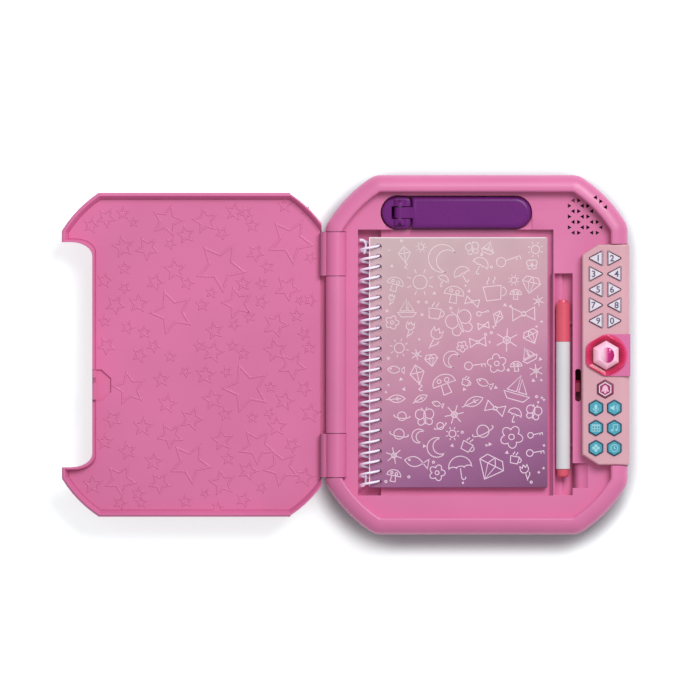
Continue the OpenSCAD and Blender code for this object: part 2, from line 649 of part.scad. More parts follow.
module key_hole(kind, c, side = 1) {
    plate(moved(rounded(drawn_in(key_shape(kind, side), -key_gap), 0.8), c), panel_under - cut, panel_z + cut);
}
module keypad_panel() {
    rings = [[0, deck_z + 0.05, 0], [0, panel_z - 3.4, 0], [0, panel_z - 1.9, 0.35], [0.2, panel_z - 0.8, 1.6],
        [0.55, panel_z - 0.25, 3.2], [1.2, panel_z, 5]];
    color("pink") difference() {
        union() {
            loft([for (r = rings) [rounded(drawn_in(panel_outline(panel_x1 - r[2]), r[0]), 1.2), r[1]]]);
            block([panel_skirt_x, -panel_y + 1.2, deck_z - 5], [panel_x1, panel_y - 1.2, deck_z + 1]);
        }
        plate(drawn_in(panel_outline(panel_x1 - 2.4), panel_side), deck_z - cut, panel_under);
        for (i = [0:9]) key_hole("digit", digit_at(i), digit_side(i));
        for (i = [0:5]) key_hole("hex", hex_at(i));
        key_hole("bell", bell_c);
        key_hole("gem", gem_c);
    }
}
module gem_bezel() {
    outer = hexagon(gem_w + 2 * bezel_out, gem_hgt + 2 * bezel_out);
    z0 = panel_z + 0.05;
    rings = [[0, z0], [0, z0 + bezel_h - 0.6], [0.9, z0 + bezel_h]];
    color("crimson") difference() {
        union() {
            loft([for (r = rings) [moved(rounded(drawn_in(outer, r[0]), 5 - r[0]), gem_c), r[1]]]);
            block([gem_c[0], gem_c[1] - bezel_side_y, z0], [panel_x1 + bezel_skin, gem_c[1] + bezel_side_y, z0 + 1]);
            block([panel_x1 + 0.05, gem_c[1] - bezel_side_y, deck_z - 4.5],
                [panel_x1 + bezel_skin, gem_c[1] + bezel_side_y, z0 + 0.5]);
        }
        plate(moved(rounded(drawn_in(hexagon(gem_w, gem_hgt), -key_gap), 1.1), gem_c), z0 - cut, z0 + bezel_h + cut);
        // Dished rim that falls towards the gem
        loft([[moved(rounded(drawn_in(hexagon(gem_w, gem_hgt), -1.2), 1.1), gem_c), z0 + 0.5],
            [moved(rounded(drawn_in(hexagon(gem_w, gem_hgt), -3.4), 1.1), gem_c), z0 + bezel_h + 0.1]]);
    }
}

// A key: cap with softened edges, flange under the panel and foot over its contact
module key_body(kind, c, side = 1) {
    p = key_shape(kind, side);
    rings = [[0, foot_z + flange_t - 0.2], [0, key_top - 0.7], [0.25, key_top - 0.2], [0.9, key_top]];
    loft([for (r = rings) [moved(rounded(drawn_in(p, r[0]), max(0.6 - r[0], 0.2)), c), r[1]]]);
    plate(moved(rounded(drawn_in(p, -flange_w / 2), 0.9), c), foot_z, foot_z + flange_t);
}
module digit_key(i) {
    color("lavender") key_body("digit", digit_at(i), digit_side(i));
}
module hex_key(i) {
    color("cadetblue") key_body("hex", hex_at(i));
}
module bell_key() {
    color("mediumvioletred") key_body("bell", bell_c);
}
module gem_button() {
    p = hexagon(gem_w, gem_hgt);
    top = panel_z + bezel_h + 2.6;
    rings = [[0, foot_z + flange_t - 0.2], [0, panel_z + bezel_h + 0.3], [3.4, top]];
    color("lightpink") {
        loft([for (r = rings) [moved(drawn_in(p, r[0]), gem_c), r[1]]]);
        plate(moved(rounded(drawn_in(p, -flange_w), 0.9), gem_c), foot_z, foot_z + flange_t);
    }
}

// Speaker behind the grille
module speaker_frame() {
    z1 = deck_under;
    color("dimgray") difference() {
        union() {
            rod_z(speaker_c[0], speaker_c[1], speaker_r, z1 - 1.2, z1);
            translate([speaker_c[0], speaker_c[1], z1 - speaker_h])
                cylinder(r1 = 7, r2 = speaker_r - 1, h = speaker_h - 1, $fn = 48);
            rod_z(speaker_c[0], speaker_c[1], 7, z1 - speaker_h - 2.5, z1 - speaker_h);
        }
        translate([speaker_c[0], speaker_c[1], z1 - speaker_h + 1.2])
            cylinder(r1 = 6, r2 = speaker_r - 1.4, h = speaker_h - 1.19, $fn = 48);
    }
}
module speaker_cone() {
    z1 = deck_under - 0.4;
    color("black") rotate_extrude_at(speaker_c, z1);
}
module rotate_extrude_at(c, z1) {
    translate([c[0], c[1], z1]) rotate_extrude($fn = 48)
        polygon([[0, -1.6], [3, -2.2], [speaker_r - 2.5, -0.4], [speaker_r - 2.5, 0], [3, -1.7], [0, -1.1]]);
}
module speaker_retainer() {
    z1 = deck_under - 1.25;
    color("hotpink") difference() {
        union() {
            rod_z(speaker_c[0], speaker_c[1], speaker_r + 1.9, z1 - 2.6, z1 - 1.3);
            for (s = [-1, 1]) block([speaker_c[0] + s * (speaker_r + 3) - 3, speaker_c[1] - 3, z1 - 2.6],
                [speaker_c[0] + s * (speaker_r + 3) + 3, speaker_c[1] + 3, z1 - 1.3]);
        }
        rod_z(speaker_c[0], speaker_c[1], speaker_r - 0.6, z1 - 3, z1 - 1);
    }
}

// Latch: guide under the slot, sprung slider with its plunger, and the solenoid
module latch_guide() {
    low = slider_low - seat;
    color("gainsboro") difference() {
        union() {
            block([guide_x0, guide_y0, low - guide_t], [guide_x1, guide_y1, low]);
            block([guide_x0, guide_y0, low - 0.1], [guide_x0 + guide_t, guide_y1, deck_under - 0.05]);
            block([guide_x1 - guide_t, guide_y0, low - 0.1], [guide_x1, guide_y1, deck_under - 0.05]);
        }
        // The pen groove's tub passes over the left wall
        block([guide_x0 - 1, guide_y0 - 1, groove_z - tub_wall - 0.1],
            [groove_x1 + tub_wall + 0.1, guide_y1 + 1, deck_z]);
    }
}
module latch_slider() {
    color("firebrick") difference() {
        union() {
            block([catch_x0, slider_y1 - slider_nose, slider_mid - 0.1], [catch_x1 + 0.3, slider_y1, slider_top]);
            block([catch_x0, slider_y1 - slider_nose, slider_wide_z - 0.1], [catch_x1 + 0.3, slider_y1 - 2.3, slider_mid]);
            block([guide_x0 + guide_t + 0.15, spring_y1, slider_low],
                [guide_x1 - guide_t - 0.15, slider_y1 - 2.3, slider_wide_z]);
            rod_y(slot_mid_x, plunger_z, plunger_r, solenoid_y1 - 2, spring_y1 + 1, 32);
        }
        // Ramp that the catch slides down as the lid shuts
        translate([catch_x0 - 1, 0, 0]) rotate([90, 0, 90]) linear_extrude(6)
            polygon([[slider_y1 + 0.1, slider_top - 2.2], [slider_y1 + 0.1, slider_top + 0.1], [slider_y1 - 2, slider_top + 0.1]]);
    }
}
module latch_solenoid() {
    color("silver") difference() {
        block([guide_x0 + guide_t + 0.1, solenoid_y0, slider_low], [guide_x1 - guide_t - 0.1, solenoid_y1, slider_wide_z]);
        rod_y(slot_mid_x, plunger_z, plunger_r + run, solenoid_y1 - 8, solenoid_y1 + cut, 32);
    }
}
spring_turns = 5;
spring_wire = 0.5;
module latch_spring() {
    r = plunger_r + 0.75;
    len_y = spring_y1 - spring_y0 - 2 * seat - spring_wire;
    steps = spring_turns * ring_per_turn;
    color("silver") wound(
        [for (i = [0:steps]) let (a = 360 * i / ring_per_turn)
            [slot_mid_x + r * cos(a), spring_y1 - seat - spring_wire / 2 - len_y * i / steps, plunger_z + r * sin(a)]],
        spring_wire / 2, [0, 1, 0]);
}

// One unbroken tube along points that wind round an axis
module wound(path, r, axis) {
    n = len(path);
    s = wire_sides;
    function ahead(i) = let (d = path[min(i + 1, n - 1)] - path[max(i - 1, 0)]) d / norm(d);
    function across(i) = let (c = cross(axis, ahead(i))) c / norm(c);
    polyhedron(
        points = [for (i = [0:n - 1]) let (u = across(i), v = cross(ahead(i), u)) for (k = [0:s - 1])
            path[i] + r * (cos(360 * k / s) * u + sin(360 * k / s) * v)],
        faces = concat(
            [[for (k = [0:s - 1]) k]],
            [[for (k = [s - 1:-1:0]) (n - 1) * s + k]],
            [for (i = [0:n - 2]) for (k = [0:s - 1]) [i * s + k, (i + 1) * s + k, (i + 1) * s + (k + 1) % s]],
            [for (i = [0:n - 2]) for (k = [0:s - 1]) [i * s + k, (i + 1) * s + (k + 1) % s, i * s + (k + 1) % s]]));
}

// Lamp: turret in its hole, arm on a pin, lens under the arm's tip
// Plan of the turret: half a disc that runs on as two ears with rounded ends
function turret_plan(t) =
    let (r = turret_d / 2 - t, x1 = turret_cut_x - t / 2, e = 3.4 - t, steps = 16)
    concat([for (i = [0:steps]) [turret_x - r * sin(180 * i / steps), lamp_y + r * cos(180 * i / steps)]],
        [for (i = [0:3]) [x1 - e + e * sin(30 * i), lamp_y - r + e - e * cos(30 * i)]],
        [for (i = [3:-1:0]) [x1 - e + e * sin(30 * i), lamp_y + r - e + e * cos(30 * i)]]);
module lamp_turret() {
    color("purple") difference() {
        union() {
            loft([for (r = [[0, turret_z0], [0, lamp_axis_z], [0.5, turret_z1 - 1.1], [2.2, turret_z1 - 0.3]])
                [turret_plan(r[0]), r[1]]]);
            rod_y(lamp_axis_x, lamp_axis_z, ear_r, lamp_y - 8.2, lamp_y + 8.2);
            rod_z(turret_x, lamp_y, stem_r, lamp_floor - tub_wall - 3, turret_z0 + cut);
        }
        block([lamp_axis_x - tab_r - tab_gap, lamp_y - tab_w / 2 - tab_gap / 2, lamp_axis_z - tab_r - 0.9],
            [turret_x + 15, lamp_y + tab_w / 2 + tab_gap / 2, rim_z]);
        rod_y(lamp_axis_x, lamp_axis_z, lamp_pin_r + run, lamp_y - 9, lamp_y + 9, 32);
        difference() {
            rod_z(turret_x, lamp_y, stem_r + 1, lamp_floor - tub_wall - 1.8, lamp_floor - tub_wall - 0.9);
            rod_z(turret_x, lamp_y, stem_r - 1, lamp_floor - tub_wall - 2, lamp_floor - tub_wall - 0.5);
        }
    }
}
module lamp_turret_clip() {
    z = lamp_floor - tub_wall - 1.75;
    color("silver") difference() {
        rod_z(turret_x, lamp_y, stem_r + 2.5, z, z + 0.8);
        rod_z(turret_x, lamp_y, stem_r - 0.95, z - cut, z + 0.8 + cut);
        block([turret_x - 2, lamp_y, z - cut], [turret_x + 2, lamp_y + 12, z + 0.8 + cut]);
    }
}
module lamp_pin() {
    color("silver") rod_y(lamp_axis_x, lamp_axis_z, lamp_pin_r, lamp_y - 8.3, lamp_y + 8.3, 32);
}
// Plan of the arm's housing: square at the turret, round at the tip
function arm_plan(t) = let (x1 = arm_x1 - arm_r, r = arm_r - t, steps = 14) concat(
    [[arm_x0 + t, lamp_y + r], [arm_x0 + t, lamp_y - r]],
    [for (i = [0:steps]) [x1 + r * sin(180 * i / steps), lamp_y - r * cos(180 * i / steps)]]);
module lamp_arm() {
    rings = [[0, arm_seam + 0.05], [0, arm_z1 - 2], [0.5, arm_z1 - 0.9], [1.6, arm_z1 - 0.2], [3, arm_z1]];
    color("purple") difference() {
        union() {
            loft([for (r = rings) [arm_plan(r[0]), r[1]]]);
            block([lamp_axis_x, lamp_y - tab_w / 2, lamp_axis_z - 2.4], [arm_x0 + 1, lamp_y + tab_w / 2, lamp_axis_z + 3]);
            rod_y(lamp_axis_x, lamp_axis_z, tab_r - 0.6, lamp_y - tab_w / 2, lamp_y + tab_w / 2);
        }
        plate(arm_plan(1.6), arm_seam - cut, arm_z1 - 1.8);
        rod_y(lamp_axis_x, lamp_axis_z, lamp_pin_r + run, lamp_y - tab_w, lamp_y + tab_w, 32);
    }
}
module lamp_arm_cover() {
    color("rebeccapurple") difference() {
        union() {
            loft([[arm_plan(1), arm_z0], [arm_plan(0), arm_z0 + 1], [arm_plan(0), arm_seam]]);
            plate(arm_plan(1.8), arm_seam - 0.5, arm_seam + 1);
        }
        plate(arm_plan(3), arm_z0 + 1.6, arm_seam + 2);
        rod_z(arm_x1 - arm_r, lamp_y, lens_r + 0.1, arm_z0 - cut, arm_z0 + 3);
    }
}
module lamp_lens() {
    color("white") {
        rod_z(arm_x1 - arm_r, lamp_y, lens_r, arm_z0, arm_z0 + 1.6);
        rod_z(arm_x1 - arm_r, lamp_y, lens_r + 0.08, arm_z0 + 1.6, arm_z0 + 2.4);
        rod_z(arm_x1 - arm_r, lamp_y, 2.5, arm_z0 + 2.4, arm_z0 + 6, 32);
    }
}

// Lid, drawn shut and then swung open about the hinge axis
module swung_open() {
    translate([hinge_x, 0, hinge_z]) rotate([0, 180, 0]) translate([-hinge_x, 0, -hinge_z]) children();
}
notch_gap = 1.6;
notch_x = panel_x0 - notch_gap;
notch_y = panel_y + 1.4;
notch_steps = 6;
lip_top = 2.2;
lip_foot = 1.8;
// Notch that leaves the keypad free, with corners rounded to quarter ellipses
function notch(t) =
    let (x0 = notch_x - t, y = notch_y + t,
        q = [for (i = [0:notch_steps]) let (a = 90 * i / notch_steps) [x0 + 14 * (1 - cos(a)), y - 9 * (1 - sin(a))]])
    concat([for (i = [0:notch_steps]) [q[i][0], -q[i][1]]], [[half_w, -y], [half_w, y]],
        [for (i = [notch_steps:-1:0]) q[i]]);
module lid_recess() {
    rings = [[0, lid_low_z - cut], [0, lid_low_z + 0.4], [1, recess_z], [1, recess_z + liner_t]];
    difference() {
        loft([for (r = rings) [lid_outline(lip_top + r[0] * (lip_w - lip_top)), r[1]]]);
        loft([for (r = rings) [notch(lip_foot * (0.75 + 0.5 * r[0])), r[1] + (r[1] > recess_z ? cut : r[1] < lid_low_z ? -cut : 0)]]);
    }
    // The recess runs out to the edge beside the hinge
    block([lid_edge_x - 3, -end_barrel_y1 + 6, lid_low_z - cut], [lid_edge_x + 12, end_barrel_y1 - 6, recess_z + liner_t]);
}
module lid_shell() {
    rings = [[1.3, lid_low_z], [0.55, lid_low_z + 0.35], [0.12, lid_low_z + 1], [0, lid_low_z + 1.8],
        [0, rim_z - 3], [0.8, rim_z - 1], [2.6, rim_z]];
    color("palevioletred") swung_open() difference() {
        union() {
            difference() {
                loft([for (r = rings) [lid_outline(r[0]), r[1]]]);
                plate(notch(0), 0, rim_z + 5);
                lid_recess();
                // Hinge side stops clear of the barrel
                block([-half_w, -half_d, 0], [lid_edge_x, half_d, rim_z + 5]);
                block([-half_w, -knuckle_y0, 0], [arm_edge_x, knuckle_y0, rim_z - hinge_sill]);
            }
            for (s = [-1, 1]) {
                y0 = s > 0 ? knuckle_y0 : -knuckle_y1;
                rod_y(hinge_x, hinge_z, barrel_r, y0, y0 + knuckle_l, 64);
                block([hinge_x, y0, lid_low_z + 0.1], [arm_edge_x, y0 + knuckle_l, rim_z]);
            }
        }
        for (s = [-1, 1]) rod_y(hinge_x, hinge_z, pin_r + run, s > 0 ? knuckle_y0 - 1 : -knuckle_y1 - 1,
            s > 0 ? knuckle_y1 + 1 : -knuckle_y0 + 1, 32);
        // Corners that pass the ends of the rim as the lid swings
        for (s = [-1, 1]) block([-half_w, min(s * half_d, s * (knuckle_y1 + 0.1)), 0],
            [lid_edge_x + 2.2, max(s * half_d, s * (knuckle_y1 + 0.1)), rim_z + 5]);
        // Slanted edges beside the hinge stand further back, so that they pass the rim's shoulder
        difference() {
            block([-half_w, -half_d, 0], [-half_w + corner_x + 4.2, half_d, rim_z + 5]);
            block([-half_w - 1, -bay_y1, -1], [arm_edge_x, bay_y1, rim_z + 6]);
            plate(lid_outline(swing_relief), -1, rim_z + 6);
        }
        // Seat of the catch in the lip
        block([catch_x0 - 0.1, catch_yc - catch_half - 0.1, lid_low_z - 1], [catch_x1 + 8, catch_yc + catch_half + 0.1, recess_z]);
    }
}
module lid_liner() {
    color("orchid") swung_open() difference() {
        plate(lid_outline(lip_w + 0.1), recess_z, recess_z + liner_t - 0.05);
        plate(notch(lip_foot * 1.25 + 0.1), 0, rim_z + 5);
        block([-half_w, -half_d, 0], [arm_edge_x + 0.1, half_d, rim_z + 5]);
        // Finger recess beside the catch
        plate([for (q = [[1, -10.2], [1, 10.2], [-3.6, 10.2], [-9.9, 4.5], [-9.9, -4.5], [-3.6, -10.2]])
            [catch_x0 + q[0], catch_yc + q[1]]], 0, rim_z + 5);
    }
}
catch_yc = (slot_y0 + slot_y1) / 2;
catch_half = 10.2;
// Catch: a foot in the lip, and a blade with two prongs, one of which is barbed
module lid_catch() {
    barb_top = slider_mid - 0.25;
    color("mediumvioletred") swung_open() {
        block([catch_x0, catch_yc - catch_half, lid_low_z + 0.1], [catch_x1, catch_yc + catch_half, recess_z - 0.1]);
        block([catch_x0, slider_y1 + 1.6, barb_top - 4], [catch_x1, slot_y1 - 1.2, lid_low_z + 1]);
        translate([catch_x0, 0, 0]) rotate([90, 0, 90]) linear_extrude(catch_x1 - catch_x0)
            polygon([[slider_y1 + 2, barb_top - 4], [slider_y1 + 2, barb_top], [slider_y1 - 1.7, barb_top],
                [slider_y1 - 1.7, barb_top - 1]]);
        block([catch_x0, slot_y0 + 1.2, deck_z - 2.5], [catch_x1, slot_y0 + 4, lid_low_z + 1]);
    }
}

// Notebook: covers, pages and the coil through their punched holes
module sheet(z0, z1, inset, shift = pages_shift) {
    difference() {
        plate(rounded([[cover_x0 + inset, cover_y1 - cover_d + inset], [cover_x0 + cover_w - inset, cover_y1 - cover_d + inset],
            [cover_x0 + cover_w - inset, cover_y1 - inset], [cover_x0 + inset, cover_y1 - inset]], 0.9), z0, z1);
        for (i = [0:coil_turns - 1])
            rod_z(hole_x, coil_y1 - i * coil_pitch + shift, hole_d / 2, z0 - cut, z1 + cut, 16);
    }
}
module notebook_back_cover() {
    color("plum") sheet(nb_z0, pages_z0, 0);
}
module notebook_pages() {
    color("ivory") sheet(pages_z0, pages_z1, 0.8);
}
module notebook_front_cover() {
    color("rosybrown") sheet(front_z0, front_z1, 0, front_shift);
}
coil_rings = coil_turns * ring_per_turn;
coil_path = [for (i = [0:coil_rings]) let (a = -180 + 360 * i / ring_per_turn)
    [coil_x + coil_r * cos(a), coil_y1 - coil_pitch * a / 360, coil_z + coil_r * sin(a)]];
module spiral_coil() {
    color("lavender") wound(coil_path, coil_wire / 2, [0, 1, 0]);
}
coil_gap = min([for (i = [0:3 * ring_per_turn]) for (j = [i + ring_per_turn - 3:i + ring_per_turn + 3])
    norm(coil_path[i] - coil_path[j])]) - coil_wire;
echo(coil_gap = coil_gap);

// Pen: barrel, nib and refill, end plug and a cap that pulls off
// Solid turned about the pen's axis, from [radius, distance past y] points
module turned_at(y, points, fn = 48) {
    translate([pen_x, y, pen_z]) rotate([-90, 0, 0]) rotate_extrude($fn = fn) polygon(points);
}
tenon_r = cap_bore_r - run;
tenon_l = 12;
tip_l = 7;
module pen_barrel() {
    body_l = cap_y0 - 0.1 - pen_y0 - plug_l;
    color("white") difference() {
        turned_at(pen_y0 + plug_l, [[0, 0], [pen_r, 0], [pen_r, body_l], [tenon_r, body_l],
            [tenon_r, body_l + tenon_l], [1.6, body_l + tenon_l + tip_l], [0, body_l + tenon_l + tip_l]]);
        rod_y(pen_x, pen_z, 1.3, pen_y0 + plug_l + 10, cap_y0 + 20, 32);
        rod_y(pen_x, pen_z, 2.5, pen_y0 + plug_l - cut, pen_y0 + plug_l + 4, 32);
    }
}
module pen_refill() {
    color("mediumblue") rod_y(pen_x, pen_z, 1.25, pen_y0 + plug_l + 10.1, cap_y0 + tenon_l + 5.4, 32);
}
module pen_nib() {
    color("silver") turned_at(cap_y0 + tenon_l + tip_l - 0.05, [[0, 0], [1.5, 0], [0.3, 3.4], [0, 3.4]], 32);
}
module pen_end_plug() {
    color("lightcoral") turned_at(pen_y0, [[0, 0], [pen_r - 1.8, 0], [pen_r - 0.9, 1], [pen_r - 0.5, plug_l - 0.05],
        [2.45, plug_l - 0.05], [2.45, plug_l + 3.5], [0, plug_l + 3.5]]);
}
module pen_cap() {
    color("lightcoral") difference() {
        turned_at(cap_y0, [[0, 0], [pen_r, 0], [pen_r, cap_l - 2.6], [pen_r - 0.8, cap_l - 1.7],
            [pen_r - 1.4, cap_l - 1.7], [pen_r - 1.9, cap_l], [0, cap_l]]);
        rod_y(pen_x, pen_z, cap_bore_r, cap_y0 - cut, pen_y1 - 3.4);
    }
}

// The open diary's middle comes to the origin
open_x0 = 2 * hinge_x - (half_w - lid_t);
row_x = -(panel_x1 + bezel_skin + open_x0) / 2;
module placed() {
    translate([row_x, 0, 0]) children();
}

placed() lower_case();
placed() upper_deck();
placed() rubber_feet();
placed() case_screws();
placed() battery_door();
placed() battery_door_screw();
placed() batteries();
placed() battery_contacts();
placed() main_board();
placed() circuit_chips();
placed() ribbon_cable();
placed() keypad_board();
placed() key_mat();
placed() keypad_panel();
placed() gem_bezel();
placed() gem_light();
placed() speaker_frame();
placed() speaker_cone();
placed() speaker_retainer();
placed() hinge_pins();
placed() latch_guide();
placed() latch_solenoid();
placed() lamp_turret();
placed() lamp_turret_clip();
placed() lamp_pin();
placed() lid_shell();
placed() lid_liner();
placed() lid_catch();
for (i = [0:9]) placed() digit_key(i);
placed() gem_button();
placed() bell_key();
placed() hex_key(0);  // talk_key
placed() hex_key(1);  // sound_key
placed() hex_key(2);  // calendar_key
placed() hex_key(3);  // music_key
placed() hex_key(4);  // game_key
placed() hex_key(5);  // clock_key
placed() lamp_arm();
placed() lamp_arm_cover();
placed() lamp_lens();
placed() latch_slider();
placed() latch_spring();
placed() notebook_pages();
placed() notebook_back_cover();
placed() notebook_front_cover();
placed() spiral_coil();
placed() pen_barrel();
placed() pen_nib();
placed() pen_refill();
placed() pen_end_plug();
placed() pen_cap();
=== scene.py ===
"""Electronic secret diary, lying open: the lid swung flat to the left, the base with notebook, pen, lamp and
keypad on the right. Lengths in this file are in millimetres from the middle of the base."""
import json
import math

import bmesh
import bpy
import numpy as np
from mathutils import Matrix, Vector

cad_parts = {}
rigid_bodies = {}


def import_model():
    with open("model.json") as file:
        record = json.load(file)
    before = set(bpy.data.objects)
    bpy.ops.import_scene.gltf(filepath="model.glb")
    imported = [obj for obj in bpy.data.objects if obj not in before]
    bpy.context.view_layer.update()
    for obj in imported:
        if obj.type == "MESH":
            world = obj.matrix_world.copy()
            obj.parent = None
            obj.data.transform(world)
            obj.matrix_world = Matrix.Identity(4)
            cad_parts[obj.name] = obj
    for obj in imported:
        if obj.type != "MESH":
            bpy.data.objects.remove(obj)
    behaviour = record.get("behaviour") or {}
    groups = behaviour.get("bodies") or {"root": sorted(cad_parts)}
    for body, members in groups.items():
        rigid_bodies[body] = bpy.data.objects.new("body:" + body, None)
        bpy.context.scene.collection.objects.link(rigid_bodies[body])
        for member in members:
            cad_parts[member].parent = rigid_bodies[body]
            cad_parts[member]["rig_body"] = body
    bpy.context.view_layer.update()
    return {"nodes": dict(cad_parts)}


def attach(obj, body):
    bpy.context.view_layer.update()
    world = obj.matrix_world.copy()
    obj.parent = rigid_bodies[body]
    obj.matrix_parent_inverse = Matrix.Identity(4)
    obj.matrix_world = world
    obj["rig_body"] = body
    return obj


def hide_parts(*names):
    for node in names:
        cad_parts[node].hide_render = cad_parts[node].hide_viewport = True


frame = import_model()
cad = frame["nodes"]


# Lower case: the bottom half of the base, moulded ABS in bubblegum pink with a fine spark-eroded grain.
# It takes the batteries and boards, and the upper deck is screwed down to it.
MM = 0.001
WELD = 0.002 * MM


def linear(colour):
    """Linear RGBA of an sRGB hex colour: a channel c is c / 12.92 at the dark end and
    ((c + 0.055) / 1.055) ^ 2.4 above it."""
    channels = [int(colour[i:i + 2], 16) / 255 for i in (1, 3, 5)]
    return tuple(c / 12.92 if c <= 0.04045 else ((c + 0.055) / 1.055) ** 2.4 for c in channels) + (1.0,)


def node(material, kind, inputs=None, stops=None, **settings):
    """Adds one shader node: settings are the node's own, inputs are values or sockets to link, and stops are
    the (place, colour) pairs of a ramp."""
    made = material.node_tree.nodes.new("ShaderNode" + kind)
    for name, value in settings.items():
        setattr(made, name, value)
    for name, value in (inputs or {}).items():
        if isinstance(value, bpy.types.NodeSocket):
            material.node_tree.links.new(value, made.inputs[name])
        else:
            made.inputs[name].default_value = value
    if stops:
        band = made.color_ramp.elements
        while len(band) < len(stops):
            band.new(1.0)
        for element, (place, colour) in zip(band, stops):
            element.position = place
            element.color = linear(colour)
    return made


def join(material, socket, target):
    """Links a socket to an input."""
    material.node_tree.links.new(socket, target)


def plastic(name, colour, roughness, grain=0.7, relief=0.010, drift=0.05, edge=0.35, ior=1.53,
            shine=0.5):
    """Moulded plastic: colour that drifts by a share of itself over 60 mm of melt flow, roughness and height
    from a grain of so many millimetres, and edges that catch light over a radius of so many millimetres."""
    material = bpy.data.materials.new(name)
    material.use_nodes = True
    shader = material.node_tree.nodes["Principled BSDF"]
    shader.inputs["IOR"].default_value = ior
    shader.inputs["Specular IOR Level"].default_value = shine
    place = node(material, "TexCoord").outputs["Object"]
    flow = node(material, "TexNoise", {"Vector": place, "Scale": 1 / (60 * MM), "Detail": 2.0})
    value = node(material, "MapRange", {"Value": flow.outputs["Fac"], "From Min": 0.3, "From Max": 0.7,
                                        "To Min": 1 - drift, "To Max": 1 + drift})
    tint = node(material, "HueSaturation", {"Color": linear(colour), "Value": value.outputs["Result"]})
    join(material, tint.outputs["Color"], shader.inputs["Base Color"])
    skin = node(material, "TexNoise", {"Vector": place, "Scale": 1 / (grain * MM), "Detail": 3.0})
    polish = node(material, "MapRange", {"Value": skin.outputs["Fac"], "From Min": 0.3, "From Max": 0.7,
                                         "To Min": roughness - 0.05, "To Max": roughness + 0.05})
    join(material, polish.outputs["Result"], shader.inputs["Roughness"])
    worn = node(material, "Bevel", {"Radius": edge * MM}, samples=4)
    height = node(material, "Bump", {"Strength": 0.6, "Distance": relief * MM, "Height": skin.outputs["Fac"],
                                     "Normal": worn.outputs["Normal"]})
    join(material, height.outputs["Normal"], shader.inputs["Normal"])
    return material


def stand(name, data):
    """A new object in the scene, at the origin."""
    made = bpy.data.objects.new(name, data)
    bpy.context.scene.collection.objects.link(made)
    return made


def casing(name, material, flat=0.6, crease=32):
    """A copy of a CAD node that stands for it: doubles merged, faces joined that are flat to so many degrees,
    shaded smooth up to a crease angle in degrees, and with normals weighted by area, so that flat faces stay
    flat."""
    shape = bmesh.new()
    shape.from_mesh(cad[name].data)
    bmesh.ops.remove_doubles(shape, verts=shape.verts, dist=WELD)
    bmesh.ops.dissolve_limit(shape, angle_limit=math.radians(flat), verts=shape.verts, edges=shape.edges)
    mesh = bpy.data.meshes.new(name + "_form")
    shape.to_mesh(mesh)
    shape.free()
    mesh.polygons.foreach_set("use_smooth", np.full(len(mesh.polygons), True))
    mesh.set_sharp_from_angle(angle=math.radians(crease))
    mesh.materials.append(material)
    made = stand(name + "_form", mesh)
    weight = made.modifiers.new("even shading", "WEIGHTED_NORMAL")
    weight.keep_sharp = True
    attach(made, cad[name]["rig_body"])
    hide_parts(name)
    return made


pink_abs = plastic("moulded_ABS_pink", "#db70a3", 0.42)
casing("lower_case", pink_abs)


# Feet: four pads of grey rubber, glued into round recesses under the case.
# Moulded rubber is matt, with a slightly dusty, uneven face.
def dress(material, *names):
    """Gives CAD nodes a material in place of their plain one."""
    for name in names:
        cad[name].data.materials.clear()
        cad[name].data.materials.append(material)


foot_rubber = plastic("moulded_rubber_grey", "#6f6b70", 0.8, grain=0.5, relief=0.03, edge=0.6)
dress(foot_rubber, "rubber_feet")


# Batteries: three AA cells in a well under the main board, each in a printed plastic sleeve, with
# nickel-plated steel springs and plates at their ends, below a door that one screw holds.
sleeve = plastic("shrink_sleeve_dark", "#3a3f4a", 0.28, grain=3.0, relief=0.004)
plating = plastic("nickel_plated_steel", "#b9b7b4", 0.3, grain=0.4, relief=0.004, drift=0.03)
plating.node_tree.nodes["Principled BSDF"].inputs["Metallic"].default_value = 1.0
casing("batteries", sleeve)
dress(plating, "battery_contacts", "battery_door_screw", "case_screws")
casing("battery_door", pink_abs)


# Main board and what stands on it: glass-epoxy laminate with green solder mask over copper tracks, black
# moulded circuit packages, and a flat white film cable to the keypad.
def solder_mask(name, pitch):
    """Circuit board: green lacquer, brighter over copper tracks that run in steps a pitch of millimetres
    apart."""
    material = plastic(name, "#1d6b45", 0.35, grain=1.2, relief=0.004)
    shader = material.node_tree.nodes["Principled BSDF"]
    place = node(material, "TexCoord").outputs["Object"]
    tracks = node(material, "TexBrick", {"Vector": place, "Scale": 1 / (pitch * MM), "Mortar Size": 0.05,
                                         "Color1": linear("#1b5f3e"), "Color2": linear("#216f48"),
                                         "Mortar": linear("#3f9a68"), "Brick Width": 2.4, "Row Height": 0.8})
    join(material, tracks.outputs["Color"], shader.inputs["Base Color"])
    return material


board_green = solder_mask("glass_epoxy_board", 3.2)
chip_black = plastic("epoxy_package_black", "#1c1c1f", 0.5, grain=0.3)
film_white = plastic("polyester_film_white", "#e8e8ee", 0.35, grain=2.0, relief=0.004)
dress(board_green, "main_board", "keypad_board")
dress(chip_black, "circuit_chips")
dress(film_white, "ribbon_cable")


# Speaker: a pressed steel basket with a treated paper cone, held up against the grille by a moulded ring.
# The cone is dark and matt, and shows through the triangular holes.
paper_cone = plastic("pressed_paper_black", "#241a20", 0.85, grain=0.4, relief=0.03)
dark_abs = plastic("moulded_ABS_black", "#231b1f", 0.5)
basket_black = plastic("lacquered_steel_black", "#1d1519", 0.45)
casing("speaker_frame", basket_black)
casing("speaker_cone", paper_cone)
dress(dark_abs, "speaker_retainer")


